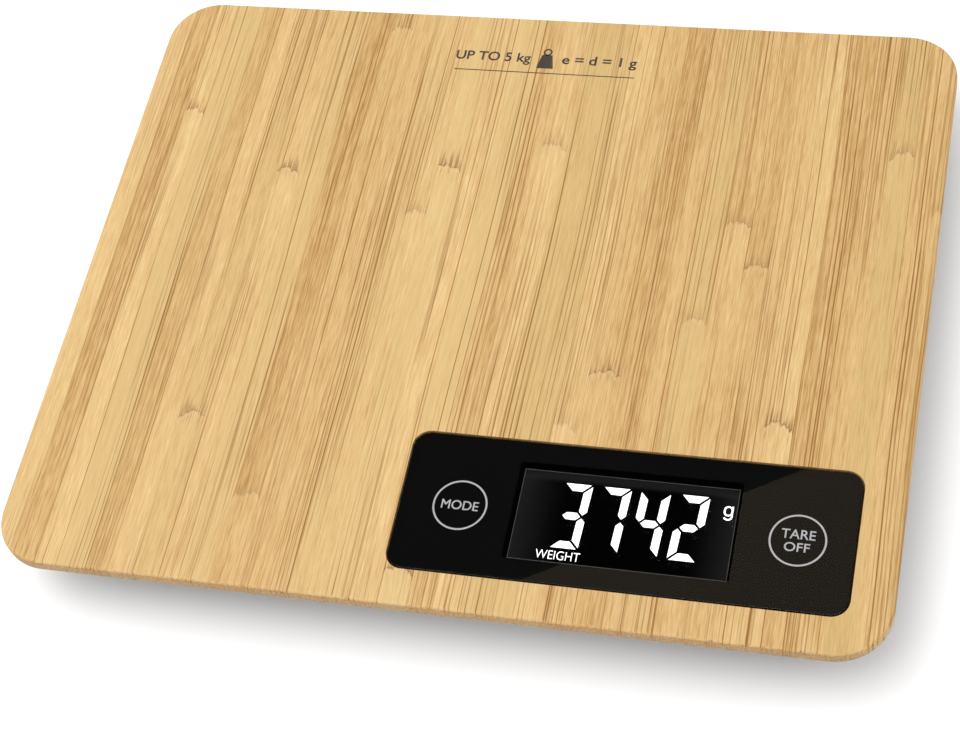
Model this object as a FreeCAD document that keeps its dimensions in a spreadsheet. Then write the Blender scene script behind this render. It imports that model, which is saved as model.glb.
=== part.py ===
import FreeCAD, Part
import math
import os
import re
import Sketcher

# Slim kitchen scale: a bamboo board on a plastic case that stands on four load cells.
# Millimetres. X runs left to right, Y front to back, Z up from the surface it stands on.
# The origin is on that surface, under the middle of the board. The display is front right.

V = FreeCAD.Vector
doc = FreeCAD.newDocument("kitchen_scale")
nodes = {}

# ---------------------------------------------------------------- driving sizes
SIZES = (
    ("board_width", 220.0, "board, left to right"),
    ("board_depth", 180.0, "board, front to back"),
    ("board_thickness", 4.0, "board"),
    ("board_corner", 13.5, "radius of the board's corners in plan"),
    ("board_rounding", 0.9, "rounding of the board's upper and lower edges"),
    ("overall_height", 22.0, "from the surface to the top of the board"),
    ("lens_width", 110.0, "cut-out for the lens, left to right"),
    ("lens_depth", 38.0, "cut-out for the lens, front to back"),
    ("lens_corner", 4.5, "corner radius of the cut-out"),
    ("lens_thickness", 3.0, "glass lens"),
    ("lens_side_margin", 10.0, "wood left at the right of the cut-out"),
    ("lens_front_margin", 9.5, "wood left in front of the cut-out"),
    ("lens_gap", 0.25, "gap round the lens"),
    ("lens_drop", 0.1, "lens lies this far below the wood"),
    ("lens_bevel", 0.35, "chamfer on the lens's upper edge"),
    ("mask_thickness", 0.15, "printed mask film"),
    ("window_width", 52.0, "clear window in the mask"),
    ("window_depth", 24.0, "clear window in the mask"),
    ("window_corner", 0.8, "corner radius of the window"),
    ("key_inset", 14.5, "touch key's centre, in from the end of the cut-out"),
    ("tape_thickness", 0.2, "double-sided bonding tape"),
    ("tape_width", 10.0, "strip of bonding tape"),
    ("case_inset", 4.0, "case's upper outline, in from the board's edge"),
    ("base_inset", 12.0, "case's lower outline, in from the board's edge"),
    ("case_wall", 2.4, "wall of the lower housing"),
    ("case_floor", 2.0, "floor of the lower housing"),
    ("case_rounding", 1.2, "rounding of the housing's lower edge"),
    ("ground_gap", 3.5, "under the housing"),
    ("carrier_thickness", 1.8, "carrier plate"),
    ("carrier_lip", 2.5, "lip of the carrier, down inside the housing"),
    ("carrier_lip_wall", 1.4, "thickness of that lip"),
    ("carrier_lip_inset", 4.6, "lip, in from the case's upper outline"),
    ("seat_inset", 0.6, "lens seat, in from the cut-out"),
    ("seat_rail", 3.2, "tape frame on the lens seat"),
    ("post_inset", 19.0, "case screws, in from the board's edge"),
    ("post_diameter", 8.4, "housing post round a case screw"),
    ("post_height", 3.0, "housing post, above the floor"),
    ("boss_diameter", 6.4, "carrier boss that takes a case screw"),
    ("screw_diameter", 2.6, "case screw's thread"),
    ("screw_head", 5.2, "case screw's head"),
    ("screw_head_height", 1.8, "case screw's head"),
    ("screw_recess", 1.2, "case screw's head, above the housing's lower face"),
    ("screw_bite", 5.0, "case screw's length in its boss"),
    ("small_screw_diameter", 2.2, "screws of circuit board and load cells"),
    ("small_screw_head", 4.2, "screws of circuit board and load cells"),
    ("small_screw_head_height", 1.2, "screws of circuit board and load cells"),
    ("foot_inset", 34.0, "foot's centre, in from the board's edges"),
    ("foot_diameter", 24.0, "foot"),
    ("foot_gap", 0.7, "gap between a foot and the housing"),
    ("foot_rounding", 1.5, "rounding of a foot's lower edge"),
    ("foot_rim", 0.8, "foot's rim, above the surface"),
    ("foot_disc_top", 5.9, "top of the foot's disc"),
    ("foot_boss_diameter", 9.0, "boss of the foot, under the load cell"),
    ("pad_diameter", 20.0, "rubber pad"),
    ("pad_thickness", 1.8, "rubber pad"),
    ("sensor_size", 28.0, "load cell plate, each side"),
    ("sensor_thickness", 1.5, "load cell plate"),
    ("sensor_rise", 1.7, "load cell plate, above the housing's floor"),
    ("sensor_tongue", 11.0, "width of the load cell's tongue"),
    ("sensor_slot", 1.6, "slot round the tongue"),
    ("sensor_bar", 5.3, "load cell frame at the tongue's tip"),
    ("sensor_root", 6.0, "load cell frame at the tongue's root"),
    ("gauge_length", 6.0, "strain gauge"),
    ("gauge_width", 4.0, "strain gauge"),
    ("gauge_thickness", 0.15, "strain gauge"),
    ("wire_diameter", 1.1, "insulated wire"),
    ("wire_pitch", 1.35, "between the wires of one lead"),
    ("wire_lift", 0.06, "wire above the load cell's plate"),
    ("board_drop", 2.8, "circuit board hangs this far under the carrier"),
    ("circuit_inset", 5.0, "circuit board, in from the ends of the cut-out"),
    ("circuit_depth", 32.0, "circuit board"),
    ("circuit_thickness", 1.2, "circuit board"),
    ("circuit_screw_inset", 3.5, "circuit board's screws, in from its edges"),
    ("lead_run", 9.0, "front right load cell to its wire header"),
    ("header_length", 8.0, "wire header"),
    ("header_width", 8.0, "wire header"),
    ("header_height", 4.0, "wire header"),
    ("chip_size", 9.0, "microcontroller"),
    ("chip_height", 1.3, "microcontroller"),
    ("glass_width", 56.0, "LCD glass"),
    ("glass_depth", 29.0, "LCD glass"),
    ("glass_height", 2.2, "LCD glass with its polarisers"),
    ("glass_air", 0.35, "air between the mask and the LCD glass"),
    ("guide_height", 2.0, "light guide"),
    ("guide_ledge", 2.6, "LCD's contact ledge, in front of the light guide"),
    ("holder_wall", 1.0, "LCD holder"),
    ("part_gap", 0.25, "clearance between fitted parts"),
    ("led_length", 3.0, "backlight LED"),
    ("led_depth", 1.0, "backlight LED"),
    ("spring_diameter", 9.0, "touch spring, centre line"),
    ("spring_wire", 0.5, "touch spring"),
    ("spring_turns", 4.0, "touch spring"),
    ("spring_hole", 11.0, "hole in the carrier for a touch spring"),
    ("battery_length", 44.5, "AAA cell with its button"),
    ("battery_diameter", 10.5, "AAA cell"),
    ("battery_button", 3.8, "AAA cell's button"),
    ("battery_button_height", 1.0, "AAA cell's button"),
    ("battery_pitch", 10.9, "between cells"),
    ("battery_count_span", 2.0, "pitches between the first and the last cell"),
    ("battery_lift", 0.1, "cells above the door"),
    ("contact_thickness", 0.4, "contact plate"),
    ("contact_height", 8.0, "contact plate"),
    ("contact_spring_length", 4.2, "contact spring, pressed"),
    ("contact_spring_diameter", 6.0, "contact spring, centre line"),
    ("contact_spring_wire", 0.6, "contact spring"),
    ("door_margin", 1.2, "door, past the battery bay's inner face"),
    ("door_thickness", 1.8, "battery door"),
    ("door_gap", 0.3, "gap round the door"),
    ("hinge_pin_diameter", 1.2, "door's trunnion pin"),
    ("hinge_pin_length", 1.8, "door's trunnion pin, past the door's side"),
    ("hinge_height", 1.1, "trunnion pin, above the housing's lower face"),
    ("hinge_gap", 0.08, "running gap round the trunnion pin, on the radius"),
    ("latch_width", 10.0, "latch tongue of the door"),
    ("latch_height", 5.0, "latch tongue, above the door"),
    ("latch_thickness", 1.1, "latch tongue"),
    ("grip_length", 14.0, "finger recess in front of the door"),
    ("grip_depth", 1.0, "finger recess"),
)

sheet = doc.addObject("Spreadsheet::Sheet", "Sizes")
for row, (alias, value, note) in enumerate(SIZES, start=1):
    sheet.set(f"A{row}", alias)
    sheet.set(f"B{row}", str(value))
    sheet.setAlias(f"B{row}", alias)
    sheet.set(f"C{row}", note)
doc.recompute()
ALIASES = {alias for alias, value, note in SIZES}

# ---------------------------------------------------------------- places, worked out from the sizes
BOARD_LOW = "(overall_height - board_thickness)"
CARRIER_TOP = f"({BOARD_LOW} - tape_thickness)"
CARRIER_LOW = f"({CARRIER_TOP} - carrier_thickness)"
LENS_LOW = "(overall_height - lens_drop - lens_thickness)"
MASK_LOW = f"({LENS_LOW} - mask_thickness)"
SEAT_TOP = f"({MASK_LOW} - tape_thickness)"
LENS_X = "(board_width / 2 - lens_side_margin - lens_width / 2)"
LENS_Y = "(lens_front_margin + lens_depth / 2 - board_depth / 2)"
LENS_LEFT = f"({LENS_X} - lens_width / 2)"
LENS_BACK = f"({LENS_Y} + lens_depth / 2)"
CASE_WIDTH = "(board_width - 2 * case_inset)"
CASE_DEPTH = "(board_depth - 2 * case_inset)"
CASE_CORNER = "(board_corner - case_inset)"
FLOOR = "(ground_gap + case_floor)"
POST_TOP = f"({FLOOR} + post_height)"
HEAD_TOP = "(ground_gap + screw_recess + screw_head_height)"
SENSOR_LOW = f"({FLOOR} + sensor_rise)"
SENSOR_TOP = f"({SENSOR_LOW} + sensor_thickness)"
FOOT_X = "(board_width / 2 - foot_inset)"
FOOT_Y = "(board_depth / 2 - foot_inset)"
WIRE_Z = f"({SENSOR_TOP} + wire_lift + wire_diameter / 2)"
CIRCUIT_WIDTH = "(lens_width - 2 * circuit_inset)"
CIRCUIT_TOP = f"({CARRIER_LOW} - board_drop)"
CIRCUIT_LOW = f"({CIRCUIT_TOP} - circuit_thickness)"
CIRCUIT_BACK = f"({LENS_Y} + circuit_depth / 2)"
CIRCUIT_LEFT = f"({LENS_X} - {CIRCUIT_WIDTH} / 2)"
GLASS_TOP = f"({MASK_LOW} - glass_air)"
GLASS_LOW = f"({GLASS_TOP} - glass_height)"
GUIDE_LOW = f"({GLASS_LOW} - guide_height)"
BAY_Y = f"(({LENS_BACK} + board_depth / 2) / 2)"
BAY_LENGTH = "(battery_length + contact_spring_length + 2 * contact_thickness)"
BAY_DEPTH = "(battery_pitch * battery_count_span + battery_diameter + 4 * part_gap)"
BAY_BACK = f"({BAY_Y} + {BAY_DEPTH} / 2)"
BAY_FRONT = f"({BAY_Y} - {BAY_DEPTH} / 2)"
DOOR_TOP = "(ground_gap + door_thickness)"
HINGE_Y = f"({BAY_BACK})"
HINGE_Z = "(ground_gap + hinge_height)"
BATTERY_Z = f"({DOOR_TOP} + battery_lift + battery_diameter / 2)"

ROUNDING_STEPS = 3      # flats that make up the rounding of the housing's lower edge
CORNERS = (("front_left", -1, -1), ("front_right", 1, -1), ("back_left", -1, 1), ("back_right", 1, 1))


# ---------------------------------------------------------------- helpers
def sized(expression):
    """The expression with each size's name pointing at its cell of the sheet."""
    return re.sub(r"[a-z_]+", lambda word: "Sizes." + word[0] if word[0] in ALIASES else word[0], expression)


def number(expression):
    """What the expression comes to, in millimetres."""
    return float(sheet.evalExpression(sized(expression)))


def bind(thing, bindings):
    """Tie properties of a document object to expressions on the sheet."""
    for target, expression in bindings.items():
        thing.setExpression(target, sized(str(expression)))
    return thing


def place(thing, x, y, z):
    return bind(thing, {"Placement.Base.x": x, "Placement.Base.y": y, "Placement.Base.z": z})


def block(name, x, y, low, width, depth, high):
    """A box centred on x and y, between two heights."""
    box = doc.addObject("Part::Box", name)
    bind(box, {"Length": width, "Width": depth, "Height": f"({high}) - ({low})"})
    return place(box, f"({x}) - ({width}) / 2", f"({y}) - ({depth}) / 2", low)


def rod(name, x, y, low, diameter, high):
    """An upright cylinder between two heights."""
    cylinder = doc.addObject("Part::Cylinder", name)
    bind(cylinder, {"Radius": f"({diameter}) / 2", "Height": f"({high}) - ({low})"})
    return place(cylinder, x, y, low)


def cross_rod(name, x, y, z, diameter, length):
    """A cylinder along +X that starts at x."""
    cylinder = doc.addObject("Part::Cylinder", name)
    cylinder.Placement = FreeCAD.Placement(V(), FreeCAD.Rotation(V(0, 1, 0), 90))
    bind(cylinder, {"Radius": f"({diameter}) / 2", "Height": length})
    return place(cylinder, x, y, z)


def group(name, pieces):
    """Separate solids that share a node."""
    if len(pieces) == 1:
        return pieces[0]
    compound = doc.addObject("Part::Compound", name)
    compound.Links = list(pieces)
    return compound


def fuse(name, pieces):
    union = doc.addObject("Part::MultiFuse", name)
    union.Shapes = list(pieces)
    union.Refine = True
    return union


def cut(name, base, tools):
    difference = doc.addObject("Part::Cut", name)
    difference.Base = base
    difference.Tool = group(name + "_tools", tools)
    difference.Refine = True
    return difference


def node(label, piece):
    """Register a finished piece under the name of its file."""
    piece.Label = label
    nodes[label] = piece
    return piece


def origin_plane(body, role):
    return next(feature for feature in body.Origin.OriginFeatures if feature.Role == role)


def flat_sketch(body, name, height="0"):
    """An empty sketch, parallel to the body's XY plane."""
    sketch = body.newObject("Sketcher::SketchObject", name)
    sketch.AttachmentSupport = [(origin_plane(body, "XY_Plane"), "")]
    sketch.MapMode = "FlatFace"
    return bind(sketch, {"AttachmentOffset.Base.z": height})


def rounded_rectangle(sketch, width, depth, corner):
    """Four lines and four tangent arcs about the sketch's origin."""
    half_x = number(width) / 2
    half_y = number(depth) / 2
    radius = number(corner)
    inner_x = half_x - radius
    inner_y = half_y - radius
    sketch.addGeometry(Part.LineSegment(V(-inner_x, -half_y), V(inner_x, -half_y)))
    sketch.addGeometry(Part.LineSegment(V(half_x, -inner_y), V(half_x, inner_y)))
    sketch.addGeometry(Part.LineSegment(V(inner_x, half_y), V(-inner_x, half_y)))
    sketch.addGeometry(Part.LineSegment(V(-half_x, inner_y), V(-half_x, -inner_y)))
    quarter = math.pi / 2
    centres = (V(inner_x, -inner_y), V(inner_x, inner_y), V(-inner_x, inner_y), V(-inner_x, -inner_y))
    for turn, centre in enumerate(centres):
        circle = Part.Circle(centre, V(0, 0, 1), radius)
        sketch.addGeometry(Part.ArcOfCircle(circle, (turn - 1) * quarter, turn * quarter))
    for side in range(4):
        sketch.addConstraint(Sketcher.Constraint("Tangent", side, 2, 4 + side, 1))
        sketch.addConstraint(Sketcher.Constraint("Tangent", 4 + side, 2, (side + 1) % 4, 1))
    for side in (0, 2):
        sketch.addConstraint(Sketcher.Constraint("Horizontal", side))
    for side in (1, 3):
        sketch.addConstraint(Sketcher.Constraint("Vertical", side))
    for arc in (5, 6, 7):
        sketch.addConstraint(Sketcher.Constraint("Equal", 4, arc))
    sketch.addConstraint(Sketcher.Constraint("Symmetric", 3, 1, 1, 1, -1, 1))
    radius_index = sketch.addConstraint(Sketcher.Constraint("Radius", 4, radius))
    width_index = sketch.addConstraint(Sketcher.Constraint("DistanceX", 3, 1, 1, 2, 2 * half_x))
    depth_index = sketch.addConstraint(Sketcher.Constraint("DistanceY", 0, 1, 2, 2, 2 * half_y))
    return bind(sketch, {f"Constraints[{radius_index}]": corner,
                         f"Constraints[{width_index}]": width,
                         f"Constraints[{depth_index}]": depth})


def circle(sketch, diameter):
    """One circle about the sketch's origin."""
    sketch.addGeometry(Part.Circle(V(), V(0, 0, 1), number(diameter) / 2))
    sketch.addConstraint(Sketcher.Constraint("Coincident", 0, 3, -1, 1))
    index = sketch.addConstraint(Sketcher.Constraint("Diameter", 0, number(diameter)))
    return bind(sketch, {f"Constraints[{index}]": diameter})


def pad(body, name, sketch, length):
    feature = body.newObject("PartDesign::Pad", name)
    feature.Profile = sketch
    bind(feature, {"Length": length})
    doc.recompute()
    return feature


def loft(body, kind, name, outlines):
    """Straight-sided loft through a stack of outlines."""
    feature = body.newObject(kind, name)
    feature.Profile = outlines[0]
    feature.Sections = [(outline, [""]) for outline in outlines[1:]]
    feature.Ruled = True
    doc.recompute()
    return feature


def level_faces(feature, heights):
    """Names of a feature's flat faces that lie at the given heights in its body."""
    names = []
    for index, face in enumerate(feature.Shape.Faces, start=1):
        box = face.BoundBox
        if box.ZLength < 1e-6 and any(abs(box.ZMin - height) < 1e-6 for height in heights):
            names.append(f"Face{index}")
    return names


def dress(body, kind, name, feature, faces, sizes):
    """A fillet or chamfer on every edge of the named faces."""
    dressing = body.newObject(kind, name)
    dressing.Base = (feature, faces)
    bind(dressing, sizes)
    return dressing


def plate(name, x, y, low, width, depth, high, corner):
    """A plate with rounded corners in plan, between two heights."""
    body = doc.addObject("PartDesign::Body", name)
    outline = rounded_rectangle(flat_sketch(body, name + "_outline"), width, depth, corner)
    pad(body, name + "_pad", outline, f"({high}) - ({low})")
    place(body, x, y, low)
    return body


def frame_ring(name, x, y, low, width, depth, high, corner, wall):
    """A rounded rectangular ring of one wall thickness."""
    outer = plate(name + "_outer", x, y, low, width, depth, high, corner)
    inner = plate(name + "_inner", x, y, low, f"{width} - 2 * ({wall})", f"{depth} - 2 * ({wall})", high,
                  f"({corner}) - ({wall}) / 2")
    return cut(name, outer, [inner])


def screw(name, x, y, seat, head, head_height, thread, length, upward):
    """A pan-head screw whose head bears on a face at height seat; upward is where its thread points."""
    head_low, head_high = (f"({seat}) - ({head_height})", seat) if upward else (seat, f"({seat}) + ({head_height})")
    shank_low, shank_high = (seat, f"({seat}) + ({length})") if upward else (f"({seat}) - ({length})", seat)
    return fuse(name, [rod(name + "_head", x, y, head_low, head, head_high),
                       rod(name + "_shank", x, y, shank_low, thread, shank_high)])


def mirrored(sign, expression):
    return f"{sign} * ({expression})"


# ---------------------------------------------------------------- platform
def bamboo_platform():
    """Side-pressed bamboo board with a cut-out for the lens."""
    body = doc.addObject("PartDesign::Body", "board")
    outline = rounded_rectangle(flat_sketch(body, "board_outline"), "board_width", "board_depth", "board_corner")
    blank = pad(body, "board_blank", outline, "board_thickness")
    faces = level_faces(blank, (0.0, number("board_thickness")))
    dress(body, "PartDesign::Fillet", "board_rounding", blank, faces, {"Radius": "board_rounding"})
    place(body, 0, 0, BOARD_LOW)
    opening = plate("board_opening", LENS_X, LENS_Y, f"{BOARD_LOW} - 1", "lens_width", "lens_depth",
                    "overall_height + 1", "lens_corner")
    node("bamboo_platform", cut("board_with_opening", body, [opening]))


def platform_tape():
    """Strips of double-sided tape between the carrier and the board."""
    edge_x = "(board_width / 2 - case_inset - tape_width)"
    edge_y = "(board_depth / 2 - case_inset - tape_width)"
    side_low = f"({LENS_BACK} + tape_width)"
    side_high = f"({edge_y} - tape_width)"
    front_width = f"({LENS_LEFT} + {edge_x} - tape_width / 2)"
    strips = [
        block("tape_back", 0, edge_y, CARRIER_TOP, f"2 * {edge_x}", "tape_width", BOARD_LOW),
        block("tape_front", f"({front_width}) / 2 - {edge_x}", f"-{edge_y}", CARRIER_TOP, front_width,
              "tape_width", BOARD_LOW),
        block("tape_lens", LENS_X, f"{LENS_BACK} + tape_width", CARRIER_TOP, "lens_width - 2 * tape_width",
              "tape_width / 2", BOARD_LOW),
    ]
    for side, sign in (("left", -1), ("right", 1)):
        strips.append(block("tape_" + side, mirrored(sign, edge_x), f"({side_low} + {side_high}) / 2",
                            CARRIER_TOP, "tape_width", f"{side_high} - {side_low}", BOARD_LOW))
    node("platform_tape", group("tape_strips", strips))


def display_lens():
    """Glass lens with a fine bevel, let into the board's cut-out."""
    body = doc.addObject("PartDesign::Body", "lens")
    outline = rounded_rectangle(flat_sketch(body, "lens_outline"), "lens_width - 2 * lens_gap",
                                "lens_depth - 2 * lens_gap", "lens_corner - lens_gap")
    blank = pad(body, "lens_blank", outline, "lens_thickness")
    faces = level_faces(blank, (number("lens_thickness"),))
    dress(body, "PartDesign::Chamfer", "lens_bevel", blank, faces, {"Size": "lens_bevel"})
    place(body, LENS_X, LENS_Y, LENS_LOW)
    node("display_lens", body)


def lens_mask():
    """Black printed film under the lens, clear at the window, and the tape frame that holds both."""
    film = plate("mask_film", LENS_X, LENS_Y, MASK_LOW, "lens_width - 2 * lens_gap", "lens_depth - 2 * lens_gap",
                 LENS_LOW, "lens_corner - lens_gap")
    window = plate("mask_window", LENS_X, LENS_Y, f"{MASK_LOW} - 1", "window_width", "window_depth",
                   f"{LENS_LOW} + 1", "window_corner")
    node("lens_mask", cut("mask_with_window", film, [window]))
    node("lens_tape", frame_ring("lens_tape_ring", LENS_X, LENS_Y, SEAT_TOP, "(lens_width - 2 * seat_inset)",
                                 "(lens_depth - 2 * seat_inset)", MASK_LOW, "lens_corner - seat_inset",
                                 "seat_rail"))


# ---------------------------------------------------------------- case
def post_places():
    """Names and places of the case screws: two on each side, two at the back, two at the front left."""
    side_x = "(board_width / 2 - post_inset)"
    side_y = f"({FOOT_Y} - sensor_size / 2 - 1.2 * post_diameter - board_thickness / 2)"
    end_y = "(board_depth / 2 - post_inset)"
    places = []
    for side, sign in (("left", -1), ("right", 1)):
        places.append((side + "_front", mirrored(sign, side_x), f"-{side_y}"))
        places.append((side + "_back", mirrored(sign, side_x), side_y))
        places.append(("back_" + side, mirrored(sign, FOOT_X + " / 2"), end_y))
    places.append(("front_outer", f"sensor_size / 2 + post_diameter - {FOOT_X}", f"-{end_y}"))
    places.append(("front_inner", f"{LENS_LEFT} - 1.2 * post_diameter", f"-{end_y}"))
    return places


def circuit_screw_places():
    """The circuit board's four screws, named by corner."""
    reach_x = f"({CIRCUIT_WIDTH} / 2 - circuit_screw_inset)"
    reach_y = "(circuit_depth / 2 - circuit_screw_inset)"
    return [(corner, f"{LENS_X} + {mirrored(right, reach_x)}", f"{LENS_Y} + {mirrored(back, reach_y)}")
            for corner, right, back in CORNERS]


def cell_screw_x(x, right):
    """A load cell's screws stand at its outer corners, clear of the foot."""
    return f"{x} + {right} * (sensor_size - sensor_bar) / 2"


def key_places():
    """The middles of the two touch keys, left and right of the window."""
    return [("mode", f"{LENS_X} - lens_width / 2 + key_inset"), ("tare", f"{LENS_X} + lens_width / 2 - key_inset")]


def carrier_frame():
    """Moulded plate under the board, with the lens seat, a lip and the bosses for the screws."""
    solid = [
        plate("carrier_plate", 0, 0, CARRIER_LOW, CASE_WIDTH, CASE_DEPTH, CARRIER_TOP, CASE_CORNER),
        plate("carrier_seat", LENS_X, LENS_Y, CARRIER_LOW, "lens_width - 2 * seat_inset",
              "lens_depth - 2 * seat_inset", SEAT_TOP, "lens_corner - seat_inset"),
        frame_ring("carrier_lip", 0, 0, f"{CARRIER_LOW} - carrier_lip", f"({CASE_WIDTH} - 2 * carrier_lip_inset)",
                   f"({CASE_DEPTH} - 2 * carrier_lip_inset)", f"{CARRIER_LOW} + carrier_thickness / 2",
                   f"{CASE_CORNER} - carrier_lip_inset / 2", "carrier_lip_wall"),
    ]
    holes = [
        block("glass_opening", LENS_X, LENS_Y, f"{CARRIER_LOW} - 1", "glass_width + 6 * part_gap",
              "glass_depth + 6 * part_gap", f"{SEAT_TOP} + 1"),
    ]
    for key, x in key_places():
        holes.append(rod("spring_hole_" + key, x, LENS_Y, f"{CARRIER_LOW} - 1", "spring_hole", f"{SEAT_TOP} + 1"))
    for name, x, y in post_places():
        solid.append(rod("boss_" + name, x, y, POST_TOP, "boss_diameter", f"{CARRIER_LOW} + carrier_thickness / 2"))
        holes.append(rod("boss_hole_" + name, x, y, f"{POST_TOP} - 1", "screw_diameter",
                         f"{POST_TOP} + screw_bite + part_gap"))
    for corner, x, y in circuit_screw_places():
        solid.append(rod("circuit_boss_" + corner, x, y, CIRCUIT_TOP, "2 * circuit_screw_inset - part_gap",
                         f"{CARRIER_LOW} + carrier_thickness / 2"))
        holes.append(rod("circuit_boss_hole_" + corner, x, y, f"{CIRCUIT_TOP} - 1", "small_screw_diameter",
                         f"{CIRCUIT_TOP} + board_drop"))
    node("carrier_frame", cut("carrier", fuse("carrier_solid", solid), holes))


def housing_shell():
    """Drafted tray: rounded at its lower edge, then its outline grows towards the carrier."""
    body = doc.addObject("PartDesign::Body", "housing_shell")
    base_width = "(board_width - 2 * base_inset)"
    base_depth = "(board_depth - 2 * base_inset)"
    outlines = []
    for step in range(ROUNDING_STEPS + 1):
        turn = math.pi / 2 * step / ROUNDING_STEPS
        inset = f"case_rounding * {2 * (1 - math.sin(turn)):.6f}"
        rise = f"case_rounding * {1 - math.cos(turn):.6f}"
        sketch = flat_sketch(body, f"skin_low_{step}", f"ground_gap + {rise}")
        outlines.append(rounded_rectangle(sketch, f"{base_width} - {inset}", f"{base_depth} - {inset}",
                                          f"{CASE_CORNER} - {inset} / 2"))
    outlines.append(rounded_rectangle(flat_sketch(body, "skin_high", CARRIER_LOW), CASE_WIDTH, CASE_DEPTH,
                                      CASE_CORNER))
    skin = loft(body, "PartDesign::AdditiveLoft", "skin", outlines)
    inner_corner = f"{CASE_CORNER} - case_wall"
    hollow_low = rounded_rectangle(flat_sketch(body, "hollow_low", FLOOR), f"{base_width} - 2 * case_wall",
                                   f"{base_depth} - 2 * case_wall", inner_corner)
    hollow_high = rounded_rectangle(flat_sketch(body, "hollow_high", CARRIER_LOW), f"{CASE_WIDTH} - 2 * case_wall",
                                    f"{CASE_DEPTH} - 2 * case_wall", inner_corner)
    skin_volume = skin.Shape.Volume
    hollow = loft(body, "PartDesign::SubtractiveLoft", "hollow", (hollow_low, hollow_high))
    if not 0 < hollow.Shape.Volume < 0.5 * skin_volume:
        raise RuntimeError("the housing was not hollowed")
    return body


def battery_rows():
    """Each cell's number, its place and which way its button points."""
    return [(index + 1, f"({BAY_Y} + {index - 1} * battery_pitch)", 1 if index == 1 else -1) for index in range(3)]


def lower_housing():
    """Tray with screw posts, load cell seats, foot holes and the battery bay."""
    solid = [housing_shell()]
    solid.append(block("bay_block", 0, BAY_Y, FLOOR, f"{BAY_LENGTH} + 2 * case_wall", f"{BAY_DEPTH} + 2 * case_wall",
                       f"{CARRIER_LOW} - part_gap"))
    holes = [
        block("bay_hollow", 0, BAY_Y, f"{FLOOR} - 1", BAY_LENGTH, BAY_DEPTH, CARRIER_LOW),
        block("door_opening", 0, BAY_Y, "ground_gap - 1", f"{BAY_LENGTH} + 2 * (door_margin + door_gap)",
              f"{BAY_DEPTH} + 2 * (door_margin + door_gap)", FLOOR),
        cross_rod("hinge_relief", f"-{BAY_LENGTH} / 2 - door_margin - door_gap", HINGE_Y, HINGE_Z,
                  "2 * (door_margin + 2 * door_gap)", f"{BAY_LENGTH} + 2 * (door_margin + door_gap)"),
        block("grip_recess", 0, f"{BAY_FRONT} - door_margin - door_gap - latch_width / 4", "ground_gap - 1",
              "grip_length", "latch_width / 2 + 1", "ground_gap + grip_depth"),
        block("latch_notch", 0, f"{BAY_FRONT} - case_wall / 2", FLOOR, "latch_width + 2 * door_gap",
              "case_wall + 1", f"{DOOR_TOP} + latch_height + 1"),
    ]
    socket = "2 * (hinge_pin_diameter / 2 + hinge_gap)"
    for side, sign in (("left", -1), ("right", 1)):
        edge = f"({BAY_LENGTH} / 2 + door_margin + door_gap)"
        start = f"-{edge} - hinge_pin_length" if sign < 0 else edge
        holes.append(cross_rod("hinge_socket_" + side, start, HINGE_Y, HINGE_Z, socket, "hinge_pin_length"))
        lead_y = f"{BAY_Y} + {sign} * battery_pitch"
        lead_start = f"-{BAY_LENGTH} / 2 - case_wall - 1" if sign < 0 else f"{BAY_LENGTH} / 2 - 1"
        holes.append(cross_rod("lead_hole_" + side, lead_start, lead_y, WIRE_Z, "wire_diameter + 2 * part_gap",
                               "case_wall + 2"))
    for name, x, y in post_places():
        solid.append(rod("post_" + name, x, y, f"{FLOOR} - case_floor / 2", "post_diameter", POST_TOP))
        holes.append(rod("post_recess_" + name, x, y, "ground_gap - 1", "screw_head + 2 * part_gap", HEAD_TOP))
        holes.append(rod("post_hole_" + name, x, y, "ground_gap - 1", "screw_diameter + 2 * part_gap",
                         f"{POST_TOP} + 1"))
    for corner, right, back in CORNERS:
        x = mirrored(right, FOOT_X)
        y = mirrored(back, FOOT_Y)
        for bar, offset in (("inner", -1), ("outer", 1)):
            bar_y = f"{y} + {offset} * (sensor_size + sensor_tongue + 2 * sensor_slot) / 4"
            solid.append(block(f"seat_{bar}_{corner}", x, bar_y, f"{FLOOR} - case_floor / 2", "sensor_size",
                               "(sensor_size - sensor_tongue - 2 * sensor_slot) / 2", SENSOR_LOW))
            holes.append(rod(f"seat_hole_{bar}_{corner}", cell_screw_x(x, right), bar_y,
                             f"{FLOOR} - 0.3 * case_floor", "small_screw_diameter", f"{SENSOR_LOW} + 1"))
        holes.append(rod("foot_hole_" + corner, x, y, "ground_gap - 1", "foot_diameter + 2 * foot_gap",
                         f"{SENSOR_LOW} + 1"))
    node("lower_housing", cut("housing", fuse("housing_solid", solid), holes))


def case_screws():
    screws = [screw("case_screw_" + name, x, y, HEAD_TOP, "screw_head", "screw_head_height", "screw_diameter",
                    f"{POST_TOP} + screw_bite - {HEAD_TOP}", True) for name, x, y in post_places()]
    node("case_screws", group("case_screw_set", screws))


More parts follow.
